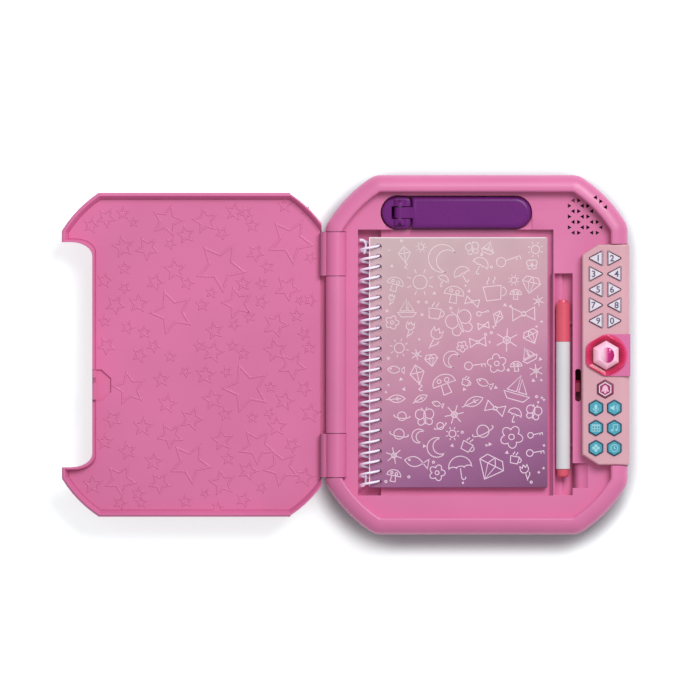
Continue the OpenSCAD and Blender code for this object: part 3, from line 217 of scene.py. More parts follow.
# Latch: an acetal guide and a crimson slider below the slot in the deck, pushed back by a steel spring when
# the solenoid lets go.
slider_crimson = plastic("moulded_acetal_crimson", "#a3294f", 0.4)
dress(plastic("moulded_acetal_maroon", "#8e1638", 0.45, shine=0.2), "latch_guide")
dress(dark_abs, "lamp_turret_clip")
casing("latch_solenoid", chip_black)
casing("latch_slider", slider_crimson)
dress(plating, "latch_spring")


# Upper deck: the visible half of the base, one pink ABS moulding with the round rim, the pocket for the
# notebook, the pen's groove, the lamp's pocket, the latch slot and the grille of small triangles.
deck_abs = plastic("moulded_ABS_pink_satin", "#de77a9", 0.38)
casing("upper_deck", deck_abs)


# Hinge pins: two turned pins of nickel-plated steel, pushed from the middle barrel through the lid's knuckles
# into the walls at the rim's ends.
dress(plating, "hinge_pins")


# Lamp: a turret and a folding arm in deep purple ABS, whose upper edge is bevelled, with a frosted lens under
# the arm's end.
purple_abs = plastic("moulded_ABS_purple", "#6e2377", 0.3, relief=0.004, shine=0.22)
lens_clear = plastic("frosted_acrylic", "#f2f0ea", 0.5, grain=0.5, ior=1.49)
casing("lamp_turret", purple_abs)
casing("lamp_arm", purple_abs)
casing("lamp_arm_cover", purple_abs)
dress(plating, "lamp_pin")
casing("lamp_lens", lens_clear)


# Lid: a shell and a liner in the same pink ABS. The liner's face is recessed inside a rounded lip, and
# outlined stars of many sizes stand up from it as thin ridges, cut into the mould. Each entry of STARS gives
# the middle, the radius and the turn in degrees of one star.
BASE = np.array([85.75, 0.0, 0.0])
lid_abs = plastic("moulded_ABS_pink_lid", "#df73a6", 0.42)
casing("lid_shell", lid_abs)
casing("lid_liner", lid_abs)
casing("lid_catch", pink_abs)
LINER_TOP = 25.8
STARS = (
    "-243 90 5.9 60; -253 85 4.6 3; -244 49 4.6 8; -237 33 5.9 60; -244 22 3.3 23; -243 6 5.3 50; "
    "-239 -42 5.3 40; -244 -57 4.6 18; -252 -85 5.9 18; -232 93 3.9 18; -225 87 2.6 18; "
    "-232 71 6.6 28; -216 70 7.2 50; -231 57 3.9 18; -211 48 5.3 70; -231 44 3.3 50; "
    "-222 34 5.9 13; -229 18 3.9 70; -218 15 3.9 18; -212 6 3.9 60; -221 0 4.6 70; "
    "-228 -22 10.5 28; -219 -47 5.9 13; -229 -63 5.3 30; -212 -70 5.3 13; -234 -82 9.8 60; "
    "-222 -91 3.9 8; -234 -97 3.9 70; -220 -97 3.3 18; -203 88 9.8 3; -191 79 5.3 28; "
    "-201 73 3.3 60; -198 56 6.6 23; -190 47 3.9 3; -200 28 13.8 38; -201 -1 3.3 18; "
    "-191 -11 3.3 60; -207 -16 4.6 23; -203 -32 5.9 8; -187 -42 7.2 70; -201 -53 7.9 50; "
    "-188 -71 13.1 60; -208 -84 6.6 55; -191 -96 3.9 23; -159 94 5.3 8; -178 88 7.9 30; "
    "-167 80 3.9 60; -168 58 15.8 59; -174 41 3.3 8; -157 34 9.8 34; -180 33 3.9 18; "
    "-159 20 3.3 60; -172 16 5.3 28; -182 6 3.3 30; -160 6 3.3 18; -173 2 6.6 3; -164 -11 3.3 40; "
    "-178 -13 5.9 13; -173 -29 6.6 28; -165 -39 3.9 28; -167 -56 6.6 23; -163 -68 3.9 18; "
    "-167 -84 7.9 28; -178 -91 2.6 60; -170 -100 3.3 8; -151 93 3.9 50; -147 85 3.9 18; "
    "-145 67 5.3 60; -137 58 3.9 30; -153 47 4.6 18; -141 47 3.3 40; -141 35 3.9 70; "
    "-149 25 3.3 30; -132 20 7.9 70; -132 3 7.2 28; -153 1 3.9 18; -135 -21 3.3 18; "
    "-151 -22 15.1 36; -136 -38 3.3 60; -147 -41 3.3 18; -131 -47 5.9 18; -144 -60 11.2 54; "
    "-150 -76 5.9 70; -141 -87 3.3 70; -153 -95 4.6 70; -126 98 3.9 18; -112 94 2.6 60; "
    "-122 75 14.4 60; -109 64 3.3 60; -124 44 7.9 60; -109 36 3.9 70; -116 36 2.6 60; "
    "-118 26 3.9 18; -113 14 3.9 40; -110 5 3.9 18; -121 -7 8.5 60; -113 -22 4.6 60; "
    "-126 -30 5.9 3; -109 -38 5.9 8; -121 -59 4.6 60; -128 -74 11.2 45; -113 -80 5.9 3; ")


def piece(name, body, material, points, faces, smooth=True):
    """A new piece on a body, from points in millimetres from the middle of the base and the faces between
    them."""
    mesh = bpy.data.meshes.new(name)
    mesh.from_pydata((np.asarray(points, float).reshape(-1, 3) + BASE) * MM, [], faces)
    mesh.polygons.foreach_set("use_smooth", np.full(len(mesh.polygons), smooth))
    mesh.materials.append(material)
    made = stand(name, mesh)
    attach(made, body)
    return made


def star_ridges(name, rows, crest=0.17, foot=0.5, spread=0.035, notch=0.48, edge=0.419):
    """Outlined stars as ridges. A star of radius r has its corners every 36 degrees, at r and notch r in
    turn. A line at a distance d outside its edges is the star scaled by (a + d) / a, where a = edge r is the
    distance of the edges from its middle. Four such lines make a ridge: foot, crest, crest, foot. The feet
    lie foot + spread r from the edges, and the crest is a third as wide."""
    x, y, r, turn = np.array([[float(v) for v in row.split()] for row in rows.split(";") if row.strip()]).T
    apart = (foot + spread * r)[:, None] * np.array([-1.0, -0.34, 0.34, 1.0])
    height = np.array([-0.06, crest, crest, -0.06])
    angle = np.radians(turn)[:, None] + np.radians(36) * np.arange(10)
    reach = r[:, None] * np.where(np.arange(10) % 2 == 0, 1.0, notch)
    scale = 1 + apart / (edge * r[:, None])
    points = np.empty((len(r), 4, 10, 3))
    points[..., 0] = x[:, None, None] + scale[:, :, None] * (reach * np.cos(angle))[:, None]
    points[..., 1] = y[:, None, None] + scale[:, :, None] * (reach * np.sin(angle))[:, None]
    points[..., 2] = LINER_TOP + height[:, None]
    star, ring, corner = np.meshgrid(np.arange(len(r)), np.arange(4), np.arange(10), indexing="ij")
    after = (corner + 1) % 10
    outer = (ring + 1) % 4
    faces = np.stack([star * 40 + ring * 10 + corner, star * 40 + outer * 10 + corner,
                      star * 40 + outer * 10 + after, star * 40 + ring * 10 + after], -1)
    return piece(name, "lid", lid_abs, points, faces.reshape(-1, 4).tolist(), smooth=False)


star_ridges("lid_stars", STARS)


# Keypad panel: a separate moulding in pale pink ABS, set into the right side of the rim, with the silicone
# key sheet and the gem's light below it.
panel_abs = plastic("moulded_ABS_pale_pink", "#dba6b2", 0.4)
mat_rubber = plastic("silicone_mat_grey", "#8f8d92", 0.7, grain=0.5)
casing("keypad_panel", panel_abs)
dress(mat_rubber, "key_mat")
dress(lens_clear, "gem_light")


# Number keys: arrow-shaped caps in white-lilac ABS, each with its digit pad-printed in grey.
# Two columns of five, whose points turn left and right.
INK = 0.04


def ink(name, body, material, z, lines=(), width=0.5, fills=()):
    """Printed ink on a flat face at height z. A line is a path whose sides lie half a width away, along the
    mean of the directions square to its two neighbouring steps, lengthened at corners so that the width is
    kept. Repeated points are dropped, and a path that ends where it starts is closed. A fill is an outline of
    points. Paths that follow each other differ in height by a tenth of the ink's thickness, so that crossing
    lines don't share a face."""
    points = []
    heights = []
    faces = []
    count = 0
    for number, path in enumerate(lines):
        path = np.asarray(path, float)
        path = path[np.append(True, np.hypot(*np.diff(path, axis=0).T) > 1e-6)]
        loop = np.hypot(*(path[0] - path[-1])) < 1e-6
        path = path[:-1] if loop else path
        size = len(path)
        step = np.roll(path, -1, 0) - path
        if not loop:
            step[-1] = step[-2]
        step /= np.hypot(step[:, 0], step[:, 1])[:, None]
        before = np.roll(step, 1, 0)
        if not loop:
            before[0] = step[0]
        way = step + before
        way /= np.maximum(np.hypot(way[:, 0], way[:, 1]), 1e-3)[:, None]
        side = np.stack([-way[:, 1], way[:, 0]], 1)
        keep = np.clip(side[:, 1] * step[:, 0] - side[:, 0] * step[:, 1], 0.5, 1.0)
        side *= (width / 2 / keep)[:, None]
        points += [path + side, path - side]
        heights.append(np.full(2 * size, z + INK + 0.1 * INK * (number % 7)))
        here = np.arange(size if loop else size - 1)
        there = (here + 1) % size
        faces += (count + np.stack([here, here + size, there + size, there], 1)).tolist()
        count += 2 * size
    for outline in fills:
        points.append(np.asarray(outline, float))
        heights.append(np.full(len(outline), z + 0.9 * INK))
        faces.append((count + np.arange(len(outline))).tolist())
        count += len(outline)
    flat = np.concatenate(points)
    made = piece(name, body, material, np.column_stack([flat, np.concatenate(heights)]), faces, smooth=False)
    wall = made.modifiers.new("ink thickness", "SOLIDIFY")
    wall.thickness = INK * MM
    return made


def arc(x, y, r, start=0.0, end=360.0, steps=24, ry=None):
    """Points x + r cos a, y + ry sin a from one angle in degrees to another."""
    a = np.radians(np.linspace(start, end, steps + 1))
    path = np.stack([x + r * np.cos(a), y + (ry or r) * np.sin(a)], 1)
    if abs(end - start) == 360:
        path[-1] = path[0]
    return path


def lettering(name, body, material, text, x, y, z, size):
    """A plain digit as a thin mesh, centred on x, y. The outline is the stock font's, filled, a little bolder
    and as thick as the ink."""
    bolder = 0.022
    curve = bpy.data.curves.new(name, "FONT")
    curve.body = text
    curve.extrude = INK / 2
    curve.offset = bolder
    carrier = bpy.data.objects.new(name + "_outline", curve)
    flat = bpy.data.meshes.new_from_object(carrier)
    at = np.empty(len(flat.vertices) * 3)
    flat.vertices.foreach_get("co", at)
    at = at.reshape(-1, 3)
    middle = (at.max(0) + at.min(0)) / 2
    tall = (at.max(0) - at.min(0))[1]
    at[:, :2] = (at[:, :2] - middle[:2]) * size / tall + (x, y)
    at[:, 2] += z + INK / 2
    faces = [list(face.vertices) for face in flat.polygons]
    bpy.data.objects.remove(carrier)
    made = piece(name, body, material, at, faces, smooth=False)
    return made


KEY_TOP = 36.8
KEY_X = (78.3, 90.4)
NUMBER_Y = 63.4
NUMBER_STEP = 10.27
key_lilac = plastic("moulded_ABS_lilac", "#e6dcea", 0.35)
grey_ink = plastic("pad_print_grey", "#605c78", 0.5, relief=0.002)
gap_shade_ink = plastic("painted_gap_shade_plum", "#4d2c44", 0.5, relief=0.002, shine=0.2)
ARROW = np.array([(-4.0, 4.1), (-3.6, 4.3), (4.1, 0.3), (4.1, -0.3), (-3.6, -4.3), (-4.0, -4.1), (-4.0, 4.1)])
POINTS_RIGHT = "2 3 6 7 0"
for i, digit in enumerate("1234567890"):
    casing("key_" + digit, key_lilac)
    side = 1 if digit in POINTS_RIGHT else -1
    middle = np.array([KEY_X[i % 2], NUMBER_Y - NUMBER_STEP * (i // 2)])
    lettering("print_" + digit, "key_" + digit, grey_ink, digit, *(middle - (1.5 * side, 0)), KEY_TOP, 4.3)
    # Painted shade: a dark plum line round the edge of each key's top stands in for the shaded gap around it.
    ink("gap_shade_rim_" + digit, "key_" + digit, gap_shade_ink, KEY_TOP, width=0.36,
        lines=[ARROW * (side, 1) + middle])


# Gem: the ringing button, cut like a stone from clear pink acrylic over a lamp, in a glossy crimson collar.
# The collar darkens towards the gem in painted shade and brightens at its outer edge in a painted highlight,
# and its corner and side block are pink like the case.
GEM = np.array([84.9, -0.3])
crimson = plastic("moulded_PMMA_crimson", "#d01c50", 0.28, relief=0.003, ior=1.49)
shader = crimson.node_tree.nodes["Principled BSDF"]
place = node(crimson, "TexCoord").outputs["Object"]
middle = (-(GEM[0] + BASE[0]) * MM, -GEM[1] * MM, 0)
centred = node(crimson, "VectorMath", {0: place, 1: middle}, operation="ADD")
level = node(crimson, "VectorMath", {0: centred.outputs["Vector"], 1: (1, 1, 0)}, operation="MULTIPLY")
reach = node(crimson, "VectorMath", {0: level.outputs["Vector"]}, operation="LENGTH")
share = node(crimson, "MapRange", {"Value": reach.outputs["Value"], "From Max": 20 * MM})
# Painted shade near the gem and a painted highlight at the collar's outer edge, between the ring's crimson
# and the side block's pink.
collar_shade_and_tone = node(crimson, "ValToRGB", {"Fac": share.outputs["Result"]},
             stops=((0.44, "#780d30"), (0.53, "#bd1547"), (0.61, "#da2660"), (0.67, "#e2447f"),
                    (0.72, "#dc74a8")))
join(crimson, collar_shade_and_tone.outputs["Color"], shader.inputs["Base Color"])
casing("gem_bezel", crimson)

gem_pink = plastic("moulded_PMMA_gem", "#fcc6dc", 0.1, drift=0.1, ior=1.49)
shader = gem_pink.node_tree.nodes["Principled BSDF"]
# A faint painted glow: the gem gives off pink light of its own, while the lamp under it gives none.
shader.inputs["Emission Color"].default_value = linear("#ffb4d2")
shader.inputs["Emission Strength"].default_value = 0.2
casing("gem_button", gem_pink)
stone = plastic("cut_PMMA_magenta", "#d8569c", 0.06, ior=1.49)
shader = stone.node_tree.nodes["Principled BSDF"]
# Painted highlight and reflection: the stone's colour runs from near white on its left to deep magenta on its
# right.
place = node(stone, "TexCoord").outputs["Object"]
parts = node(stone, "SeparateXYZ", {"Vector": place})
across = node(stone, "MapRange", {"Value": parts.outputs["X"], "From Min": (GEM[0] + BASE[0] - 3.5) * MM,
                                  "From Max": (GEM[0] + BASE[0] + 5.0) * MM})
painted_glint = node(stone, "ValToRGB", {"Fac": across.outputs["Result"]},
             stops=((0.0, "#ffeef5"), (0.25, "#fdc4dd"), (0.45, "#f27fb4"), (0.6, "#d02f84"),
                    (1.0, "#a8125f")))
join(stone, painted_glint.outputs["Color"], shader.inputs["Base Color"])


def cut_stone(name, body, material, x, y, z, rx, ry):
    """Oval stone with flat facets: rings of 12 points, each given as a share of the half widths, a turn in
    steps and a height in millimetres, joined from the closed foot to the flat table."""
    step = math.radians(30)
    angle = step * np.arange(12)
    rings = [(1.0, 0.0, -0.3), (1.0, 0.0, 0.02), (0.74, 0.5, 0.55), (0.36, 0.0, 0.85)]
    points = np.stack([np.column_stack([x + share * rx * np.cos(angle + step * turn),
                                        y + share * ry * np.sin(angle + step * turn),
                                        np.full(12, z + rise)]) for share, turn, rise in rings])
    here = np.arange(12)
    there = (here + 1) % 12
    faces = np.stack([here, there, there + 12, here + 12], 1).tolist()
    faces += np.stack([here + 12, there + 12, here + 24], 1).tolist()
    faces += np.stack([there + 12, there + 24, here + 24], 1).tolist()
    faces += np.stack([here + 24, there + 24, there + 36], 1).tolist()
    faces += np.stack([here + 24, there + 36, here + 36], 1).tolist()
    faces += [(here + 36).tolist(), here[::-1].tolist()]
    return piece(name, body, material, points, faces, smooth=False)


cut_stone("gem_stone", "gem_button", stone, GEM[0] + 1.0, GEM[1], 40.2, 4.6, 5.2)


# Bell key and the six hexagonal keys: crimson and teal ABS, pad-printed with a rim and a plain icon each.
# The icons are a microphone, a loudspeaker, a calendar, a note, a clover and a clock.
key_crimson = plastic("moulded_ABS_crimson", "#a62c68", 0.35)
key_teal = plastic("moulded_ABS_teal", "#4ba6ba", 0.32)
navy_ink = plastic("pad_print_navy", "#1c3a60", 0.5, relief=0.002, shine=0.2)
pale_ink = plastic("pad_print_pale_blue", "#a2dae8", 0.5, relief=0.002)
rose_ink = plastic("pad_print_rose", "#f4bcd8", 0.5, relief=0.002)
white_ink = plastic("pad_print_white", "#f6e6ee", 0.5, relief=0.002)


def hexagon(x, y, wide, tall):
    """Closed hexagon with points at its top and bottom, x and y +- tall / 2, and upright sides at
    x +- wide / 2 from y - tall / 4 to y + tall / 4."""
    return np.array([(x, y + tall / 2), (x - wide / 2, y + tall / 4), (x - wide / 2, y - tall / 4),
                     (x, y - tall / 2), (x + wide / 2, y - tall / 4), (x + wide / 2, y + tall / 4),
                     (x, y + tall / 2)])


BELL = (84.4, -22.6)
casing("bell_key", key_crimson)
ink("print_bell_rim", "bell_key", white_ink, KEY_TOP, lines=[hexagon(*BELL, 7.5, 8.8)], width=0.65)
# Painted shade: a dark plum line near the bell key's edge stands in for the shaded gap around it.
ink("gap_shade_bell_edge", "bell_key", gap_shade_ink, KEY_TOP, lines=[hexagon(*BELL, 8.7, 10.1)], width=0.5)
swing = np.linspace(-1, 1, 17)
mantle = np.column_stack([BELL[0] + 2.1 * swing, BELL[1] - 1.1 + 3.6 * (1 - np.abs(swing) ** 2.6) ** 0.6])
ink("print_bell", "bell_key", rose_ink, KEY_TOP, width=0.7,
    fills=[mantle[::-1], arc(*BELL, 0.8, steps=12)[:-1] - (0, 2.1)],
    lines=[[(BELL[0] - 2.7, BELL[1] - 1.3), (BELL[0] + 2.7, BELL[1] - 1.3)]])
HEX_Y = -34.9
HEX_STEP = 13.2
ICONS = {
    "talk": dict(fills=[np.concatenate([arc(0, 1.2, 1.0, 0, 180, 8), arc(0, -0.2, 1.0, 180, 360, 8)])],
                 lines=[arc(0, 0.1, 1.9, 190, 350, 12), [(0, -1.8), (0, -2.9)], [(-1.2, -2.9), (1.2, -2.9)]]),
    "sound": dict(fills=[[(-2.6, -0.8), (-1.4, -0.8), (0.1, -2.1), (0.1, 2.1), (-1.4, 0.8), (-2.6, 0.8)]],
                  lines=[arc(0.1, 0, 1.3, -50, 50, 8), arc(0.1, 0, 2.4, -50, 50, 10)]),
    "calendar": dict(fills=[[(-2.6, 1.2), (2.6, 1.2), (2.6, 2.1), (-2.6, 2.1)]],
                     lines=[[(-2.6, -2.1), (2.6, -2.1), (2.6, 2.1), (-2.6, 2.1), (-2.6, -2.1)],
                            [(-0.9, -2.1), (-0.9, 1.2)], [(0.9, -2.1), (0.9, 1.2)],
                            [(-2.6, -0.4), (2.6, -0.4)]]),
    "music": dict(fills=[arc(-1.4, -1.6, 0.9, ry=0.7, steps=12)[:-1],
                         arc(1.5, -1.2, 0.9, ry=0.7, steps=12)[:-1]],
                  lines=[[(-0.7, -1.6), (-0.7, 2.0), (2.2, 2.4), (2.2, -1.2)]]),
    "game": dict(fills=[arc(dx, dy, 1.05, steps=14)[:-1]
                        for dx, dy in ((0, 1.5), (1.5, 0), (0, -1.5), (-1.5, 0))],
                 lines=[[(-0.9, -0.9), (0.9, 0.9)]]),
    "clock": dict(fills=[arc(0, 0, 0.4, steps=8)[:-1]],
                  lines=[arc(0, 0, 2.3, steps=24), [(0, 1.5), (0, 0), (1.1, -0.6)]]),
}
for i, (kind, icon) in enumerate(ICONS.items()):
    middle = np.array([KEY_X[i % 2], HEX_Y - HEX_STEP * (i // 2)])
    casing(kind + "_key", key_teal)
    ink("print_%s_rim" % kind, kind + "_key", navy_ink, KEY_TOP, width=0.5,
        lines=[hexagon(*middle, 8.3, 9.5)])
    ink("print_%s_icon" % kind, kind + "_key", pale_ink, KEY_TOP, width=0.5,
        lines=[np.asarray(line) + middle for line in icon["lines"]],
        fills=[np.asarray(outline) + middle for outline in icon["fills"]])


# Notebook: covers of coated card, writing paper and a coil. The front cover is printed with a tint that runs
# from greyish pink at the top to plum at the bottom, and with its own small drawings in a pale line.
COVER = np.array([(-70.7, -87.1), (46.5, 77.2)])
COVER_TOP = 26.4


def printed_tint(name, colours):
    """Gloss-laminated offset print: the tint runs down the cover, four parts by height and one part by width,
    and the card's fibres show as a faint mottle."""
    material = plastic(name, "#cc98ac", 0.4, grain=0.9, relief=0.006)
    wide, tall = (COVER[1] - COVER[0]) * MM
    along = (0.2 / wide, -0.8 / tall, 0)
    start = along[0] * (COVER[0][0] + BASE[0]) * MM + along[1] * COVER[1][1] * MM
    place = node(material, "TexCoord").outputs["Object"]
    run = node(material, "VectorMath", {0: place, 1: along}, operation="DOT_PRODUCT")
    share = node(material, "MapRange", {"Value": run.outputs["Value"], "From Min": start,
                                        "From Max": start + 1})
    tint = node(material, "ValToRGB", {"Fac": share.outputs["Result"]}, stops=colours)
    mottle = node(material, "TexNoise", {"Vector": place, "Scale": 1 / (25 * MM), "Detail": 3.0})
    value = node(material, "MapRange", {"Value": mottle.outputs["Fac"], "From Min": 0.3, "From Max": 0.7,
                                        "To Min": 0.95, "To Max": 1.05})
    tone = node(material, "HueSaturation", {"Color": tint.outputs["Color"], "Value": value.outputs["Result"]})
    join(material, tone.outputs["Color"], material.node_tree.nodes["Principled BSDF"].inputs["Base Color"])
    return material


card = printed_tint("laminated_card_printed",
                    ((0.0, "#cfb6ba"), (0.28, "#cfa3b1"), (0.5, "#c98ca8"), (0.66, "#b8789d"),
                     (0.84, "#9a5d8f"), (1.0, "#7f4674")))
plain_card = plastic("coated_card_plum", "#a8708f", 0.5, grain=0.6, relief=0.01)
dress(card, "notebook_front_cover")
dress(plain_card, "notebook_back_cover")

print_pale = printed_tint("offset_print_pale", ((0.0, "#ecdcdf"), (0.4, "#f5d6e2"), (1.0, "#f6daf1")))
polar = np.radians(np.arange(0, 361, 6.0))


def curve_round(r):
    """Closed path at a radius given for each of 61 angles."""
    return np.stack([r * np.cos(polar), r * np.sin(polar)], 1)


def mirrored(points):
    """A path followed by its own mirror image in x, walked back, and closed."""
    half = np.array(points, float)
    return np.concatenate([half, half[::-1] * (-1, 1), half[:1]])


def spin(turn):
    """Matrix that turns points in rows by an angle in radians."""
    return np.array([[math.cos(turn), math.sin(turn)], [-math.sin(turn), math.cos(turn)]])


bend = np.linspace(-1, 1, 15)
bow_up = 1 - bend ** 2
MOTIFS = [
    # Moon
    [np.concatenate([arc(0, 0, 1, 50, 310, 18), arc(0.42, 0, 0.8, 286, 74, 14)])],
    # Sun
    [arc(0, 0, 0.5, steps=18)]
    + [np.array([(0.68, 0), (1, 0)]) @ spin(a) for a in np.radians(np.arange(0, 360, 45))],
    # Flower
    [curve_round(0.62 + 0.36 * np.abs(np.cos(2.5 * polar))), arc(0, 0, 0.24, steps=12)],
    # Leaf
    [np.concatenate([np.stack([bend, 0.45 * bow_up], 1), np.stack([-bend, -0.45 * bow_up], 1)]),
     [(-1.35, -0.1), (0.55, 0)], [(-0.1, 0), (0.2, 0.22)], [(-0.1, 0), (0.2, -0.22)]],
    # Butterfly
    [arc(0.5, 0.36, 0.44, -140, 130, 14, ry=0.5), arc(-0.5, 0.36, 0.44, 50, 320, 14, ry=0.5),
     arc(0.42, -0.42, 0.32, -160, 80, 10), arc(-0.42, -0.42, 0.32, 100, 340, 10),
     arc(0, 0, 0.09, steps=12, ry=0.62), [(0.03, 0.62), (0.3, 1.05)], [(-0.03, 0.62), (-0.3, 1.05)]],
    # Mushroom
    [np.concatenate([arc(0, 0, 1, 0, 180, 16, ry=0.85), [(1, 0)]]),
     [(-0.28, 0), (-0.36, -0.85), (0.36, -0.85), (0.28, 0)],
     arc(-0.35, 0.38, 0.17, steps=8), arc(0.32, 0.3, 0.2, steps=8)],
    # Umbrella
    [np.concatenate([arc(0, 0, 1, 0, 180, 18), arc(-0.67, 0, 0.33, 180, 0, 6, ry=0.14),
                     arc(0, 0, 0.34, 180, 0, 6, ry=0.14), arc(0.67, 0, 0.33, 180, 0, 6, ry=0.14)]),
     [(0, -0.05), (0, -0.9), (0.12, -1.05), (0.3, -1.0), (0.36, -0.82)]],
    # Diamond
    [mirrored([(0, -0.95), (0.95, 0.2), (0.6, 0.75), (0, 0.75)]), [(-0.95, 0.2), (0.95, 0.2)],
     [(-0.3, 0.2), (0, -0.95), (0.3, 0.2), (0, 0.75), (-0.3, 0.2)]],
    # Key
    [arc(-0.6, 0, 0.4, steps=16), [(-0.2, 0), (1.1, 0), (1.1, -0.34)], [(0.75, 0), (0.75, -0.3)]],
    # Kite
    [mirrored([(0, 1), (0.62, 0.3), (0, -0.7)]), [(0, 1), (0, -0.7)], [(-0.62, 0.3), (0.62, 0.3)],
     np.stack([0.16 * np.sin(4 * bend), -1.0 + 0.32 * bend], 1)],
    # Planet
    [arc(0, 0, 0.62, steps=22), arc(0, 0, 1.15, 152, 388, 24, ry=0.3)],
    # Cup
    [[(-0.7, 0.3), (-0.55, -0.7), (0.45, -0.7), (0.6, 0.3), (-0.7, 0.3)], arc(0.6, -0.15, 0.32, 75, -100, 8),
     np.stack([-0.3 + 0.09 * np.sin(3 * bend), 0.72 + 0.25 * bend], 1),
     np.stack([0.15 + 0.09 * np.sin(3 * bend), 0.72 + 0.25 * bend], 1)],
    # Bow
    [mirrored([(0.16, 0.12), (0.95, 0.55), (0.95, -0.55), (0.16, -0.12)]), arc(0, 0, 0.2, steps=10)],
    # Fish
    [np.concatenate([np.stack([0.8 * bend - 0.2, 0.42 * bow_up], 1), [(1.05, 0.4), (1.05, -0.4)],
                     np.stack([-0.8 * bend - 0.2, -0.42 * bow_up], 1)]), arc(-0.6, 0.08, 0.07, steps=6)],
    # Boat
    [[(-0.95, -0.35), (0.95, -0.35), (0.6, -0.8), (-0.6, -0.8), (-0.95, -0.35)],
     [(-0.05, -0.2), (-0.05, 1), (-0.75, -0.2), (-0.05, -0.2)],
     [(0.1, -0.2), (0.1, 0.75), (0.7, -0.2), (0.1, -0.2)]],
    # Snowflake
    [[(-1, 0), (1, 0)], [(-0.5, -0.87), (0.5, 0.87)], [(0.5, -0.87), (-0.5, 0.87)], arc(0, 0, 0.34, steps=6)],
    # Tulip
    [[(-0.45, 0.9), (-0.5, 0.35), (-0.3, 0.05), (0, -0.02), (0.3, 0.05), (0.5, 0.35), (0.45, 0.9),
      (0.22, 0.6), (0, 0.95), (-0.22, 0.6), (-0.45, 0.9)],
     [(0, 0), (0, -1)], [(0, -0.85), (0.45, -0.35), (0.5, -0.05)]],
]
# Cross, ring and triangle
FILLERS = [
    [[(-1, 0), (1, 0)], [(0, -1), (0, 1)]],
    [arc(0, 0, 0.8, steps=10)],
    [[(0, 1), (0.87, -0.5), (-0.87, -0.5), (0, 1)]],
]


def scattered(paths, x, y, size, turn):
    """Paths turned, scaled and moved: (x, y) + size R(turn) p."""
    return [np.asarray(path, float) @ spin(turn) * size + (x, y) for path in paths]


# Where the drawings lie: each size in turn takes the first free one of many random places.
DRAWN = np.array([(-61.0, -85.6), (45.2, 75.8)])
SIZES = np.repeat([10.8, 9.0, 7.6, 6.4, 5.4, 4.4, 1.0], [6, 9, 14, 20, 22, 24, 50])
CLOSER = 0.96
TRIES = 1500
chance = np.random.default_rng(8)
placed = np.zeros((0, 3))
drawing = []
for number, size in enumerate(SIZES):
    spots = chance.uniform(DRAWN[0] + size, DRAWN[1] - size, (TRIES, 2))
    apart = np.hypot(spots[:, :1] - placed[:, 0], spots[:, 1:] - placed[:, 1])
    free = spots[(apart > CLOSER * (placed[:, 2] + size)).all(1)]
    if len(free):
        x, y = free[0]
        placed = np.vstack([placed, (x, y, size)])
        kinds, scale = (MOTIFS, 0.85 * size) if size > 2 else (FILLERS, 0.9)
        drawing += scattered(kinds[number * 7 % len(kinds)], x, y, scale, chance.uniform(-0.5, 0.5))
ink("cover_drawing", "front_cover", print_pale, COVER_TOP, lines=drawing, width=0.62)
(left, low), (right, high) = COVER
# A white line along the cover's left and top edges only.
ink("cover_edge_line", "front_cover", white_ink, COVER_TOP, width=0.75,
    lines=[[(left + 0.4, low + 1.2), (left + 0.4, high - 0.4), (right - 1.2, high - 0.4)]])


# Pages: a block of writing paper, whose cut edges show as fine lines, and a thin tinted sheet on top of it
# under the front cover, painted shade for what shows through the coil holes. All of them are punched with the
# covers for the coil.
paper = plastic("writing_paper", "#f3f0ea", 0.9, grain=0.3, relief=0.02)
place = node(paper, "TexCoord").outputs["Object"]
leaves = node(paper, "TexWave", {"Vector": place, "Scale": 1 / (6.3 * MM), "Distortion": 0.4},
              bands_direction="Z")
stack = node(paper, "ValToRGB", {"Fac": leaves.outputs["Fac"]}, stops=((0.2, "#d9d2cb"), (0.6, "#f3f0ea")))
join(paper, stack.outputs["Color"], paper.node_tree.nodes["Principled BSDF"].inputs["Base Color"])
casing("notebook_pages", paper)
# Painted shade: a copy of the block's top face, tinted from greyish pink to plum, darkens what shows through
# the coil holes.
hole_shade_paper = printed_tint("painted_hole_shade", ((0.0, "#c9b3b8"), (0.5, "#c08aa4"), (1.0, "#77426c")))
leaf = bmesh.new()
leaf.from_mesh(cad["notebook_pages"].data)
bmesh.ops.remove_doubles(leaf, verts=leaf.verts, dist=WELD)
leaf.normal_update()
bmesh.ops.delete(leaf, geom=[face for face in leaf.faces if face.normal.z < 0.9], context="FACES")
bmesh.ops.translate(leaf, verts=leaf.verts, vec=(0, 0, 0.07 * MM))
leaf_mesh = bpy.data.meshes.new("shade_leaf")
leaf.to_mesh(leaf_mesh)
leaf.free()
leaf_mesh.materials.append(hole_shade_paper)
shade_leaf = stand("shade_leaf", leaf_mesh)
shade_leaf.modifiers.new("paper thickness", "SOLIDIFY").thickness = 0.05 * MM
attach(shade_leaf, "notebook")


# Coil: one length of white nylon-coated wire, wound through the holes, with both ends crimped inwards so that
# it can't unwind. It gives off a faint painted glow, so that its shaded underside stays bright.
coil_nylon = plastic("nylon_coated_wire", "#ece6f6", 0.22, grain=1.5)
shader = coil_nylon.node_tree.nodes["Principled BSDF"]
# Painted glow: a faint light of the wire's own keeps its shaded underside bright.
shader.inputs["Emission Color"].default_value = linear("#dcd2ee")
shader.inputs["Emission Strength"].default_value = 0.16
COIL = np.array([-70.2, 72.0, 23.8])
COIL_R = 6.2
COIL_PITCH = 6.72
COIL_TURNS = (-0.5, 23.5)
TURN_STEPS = 32
WIRE = 1.6


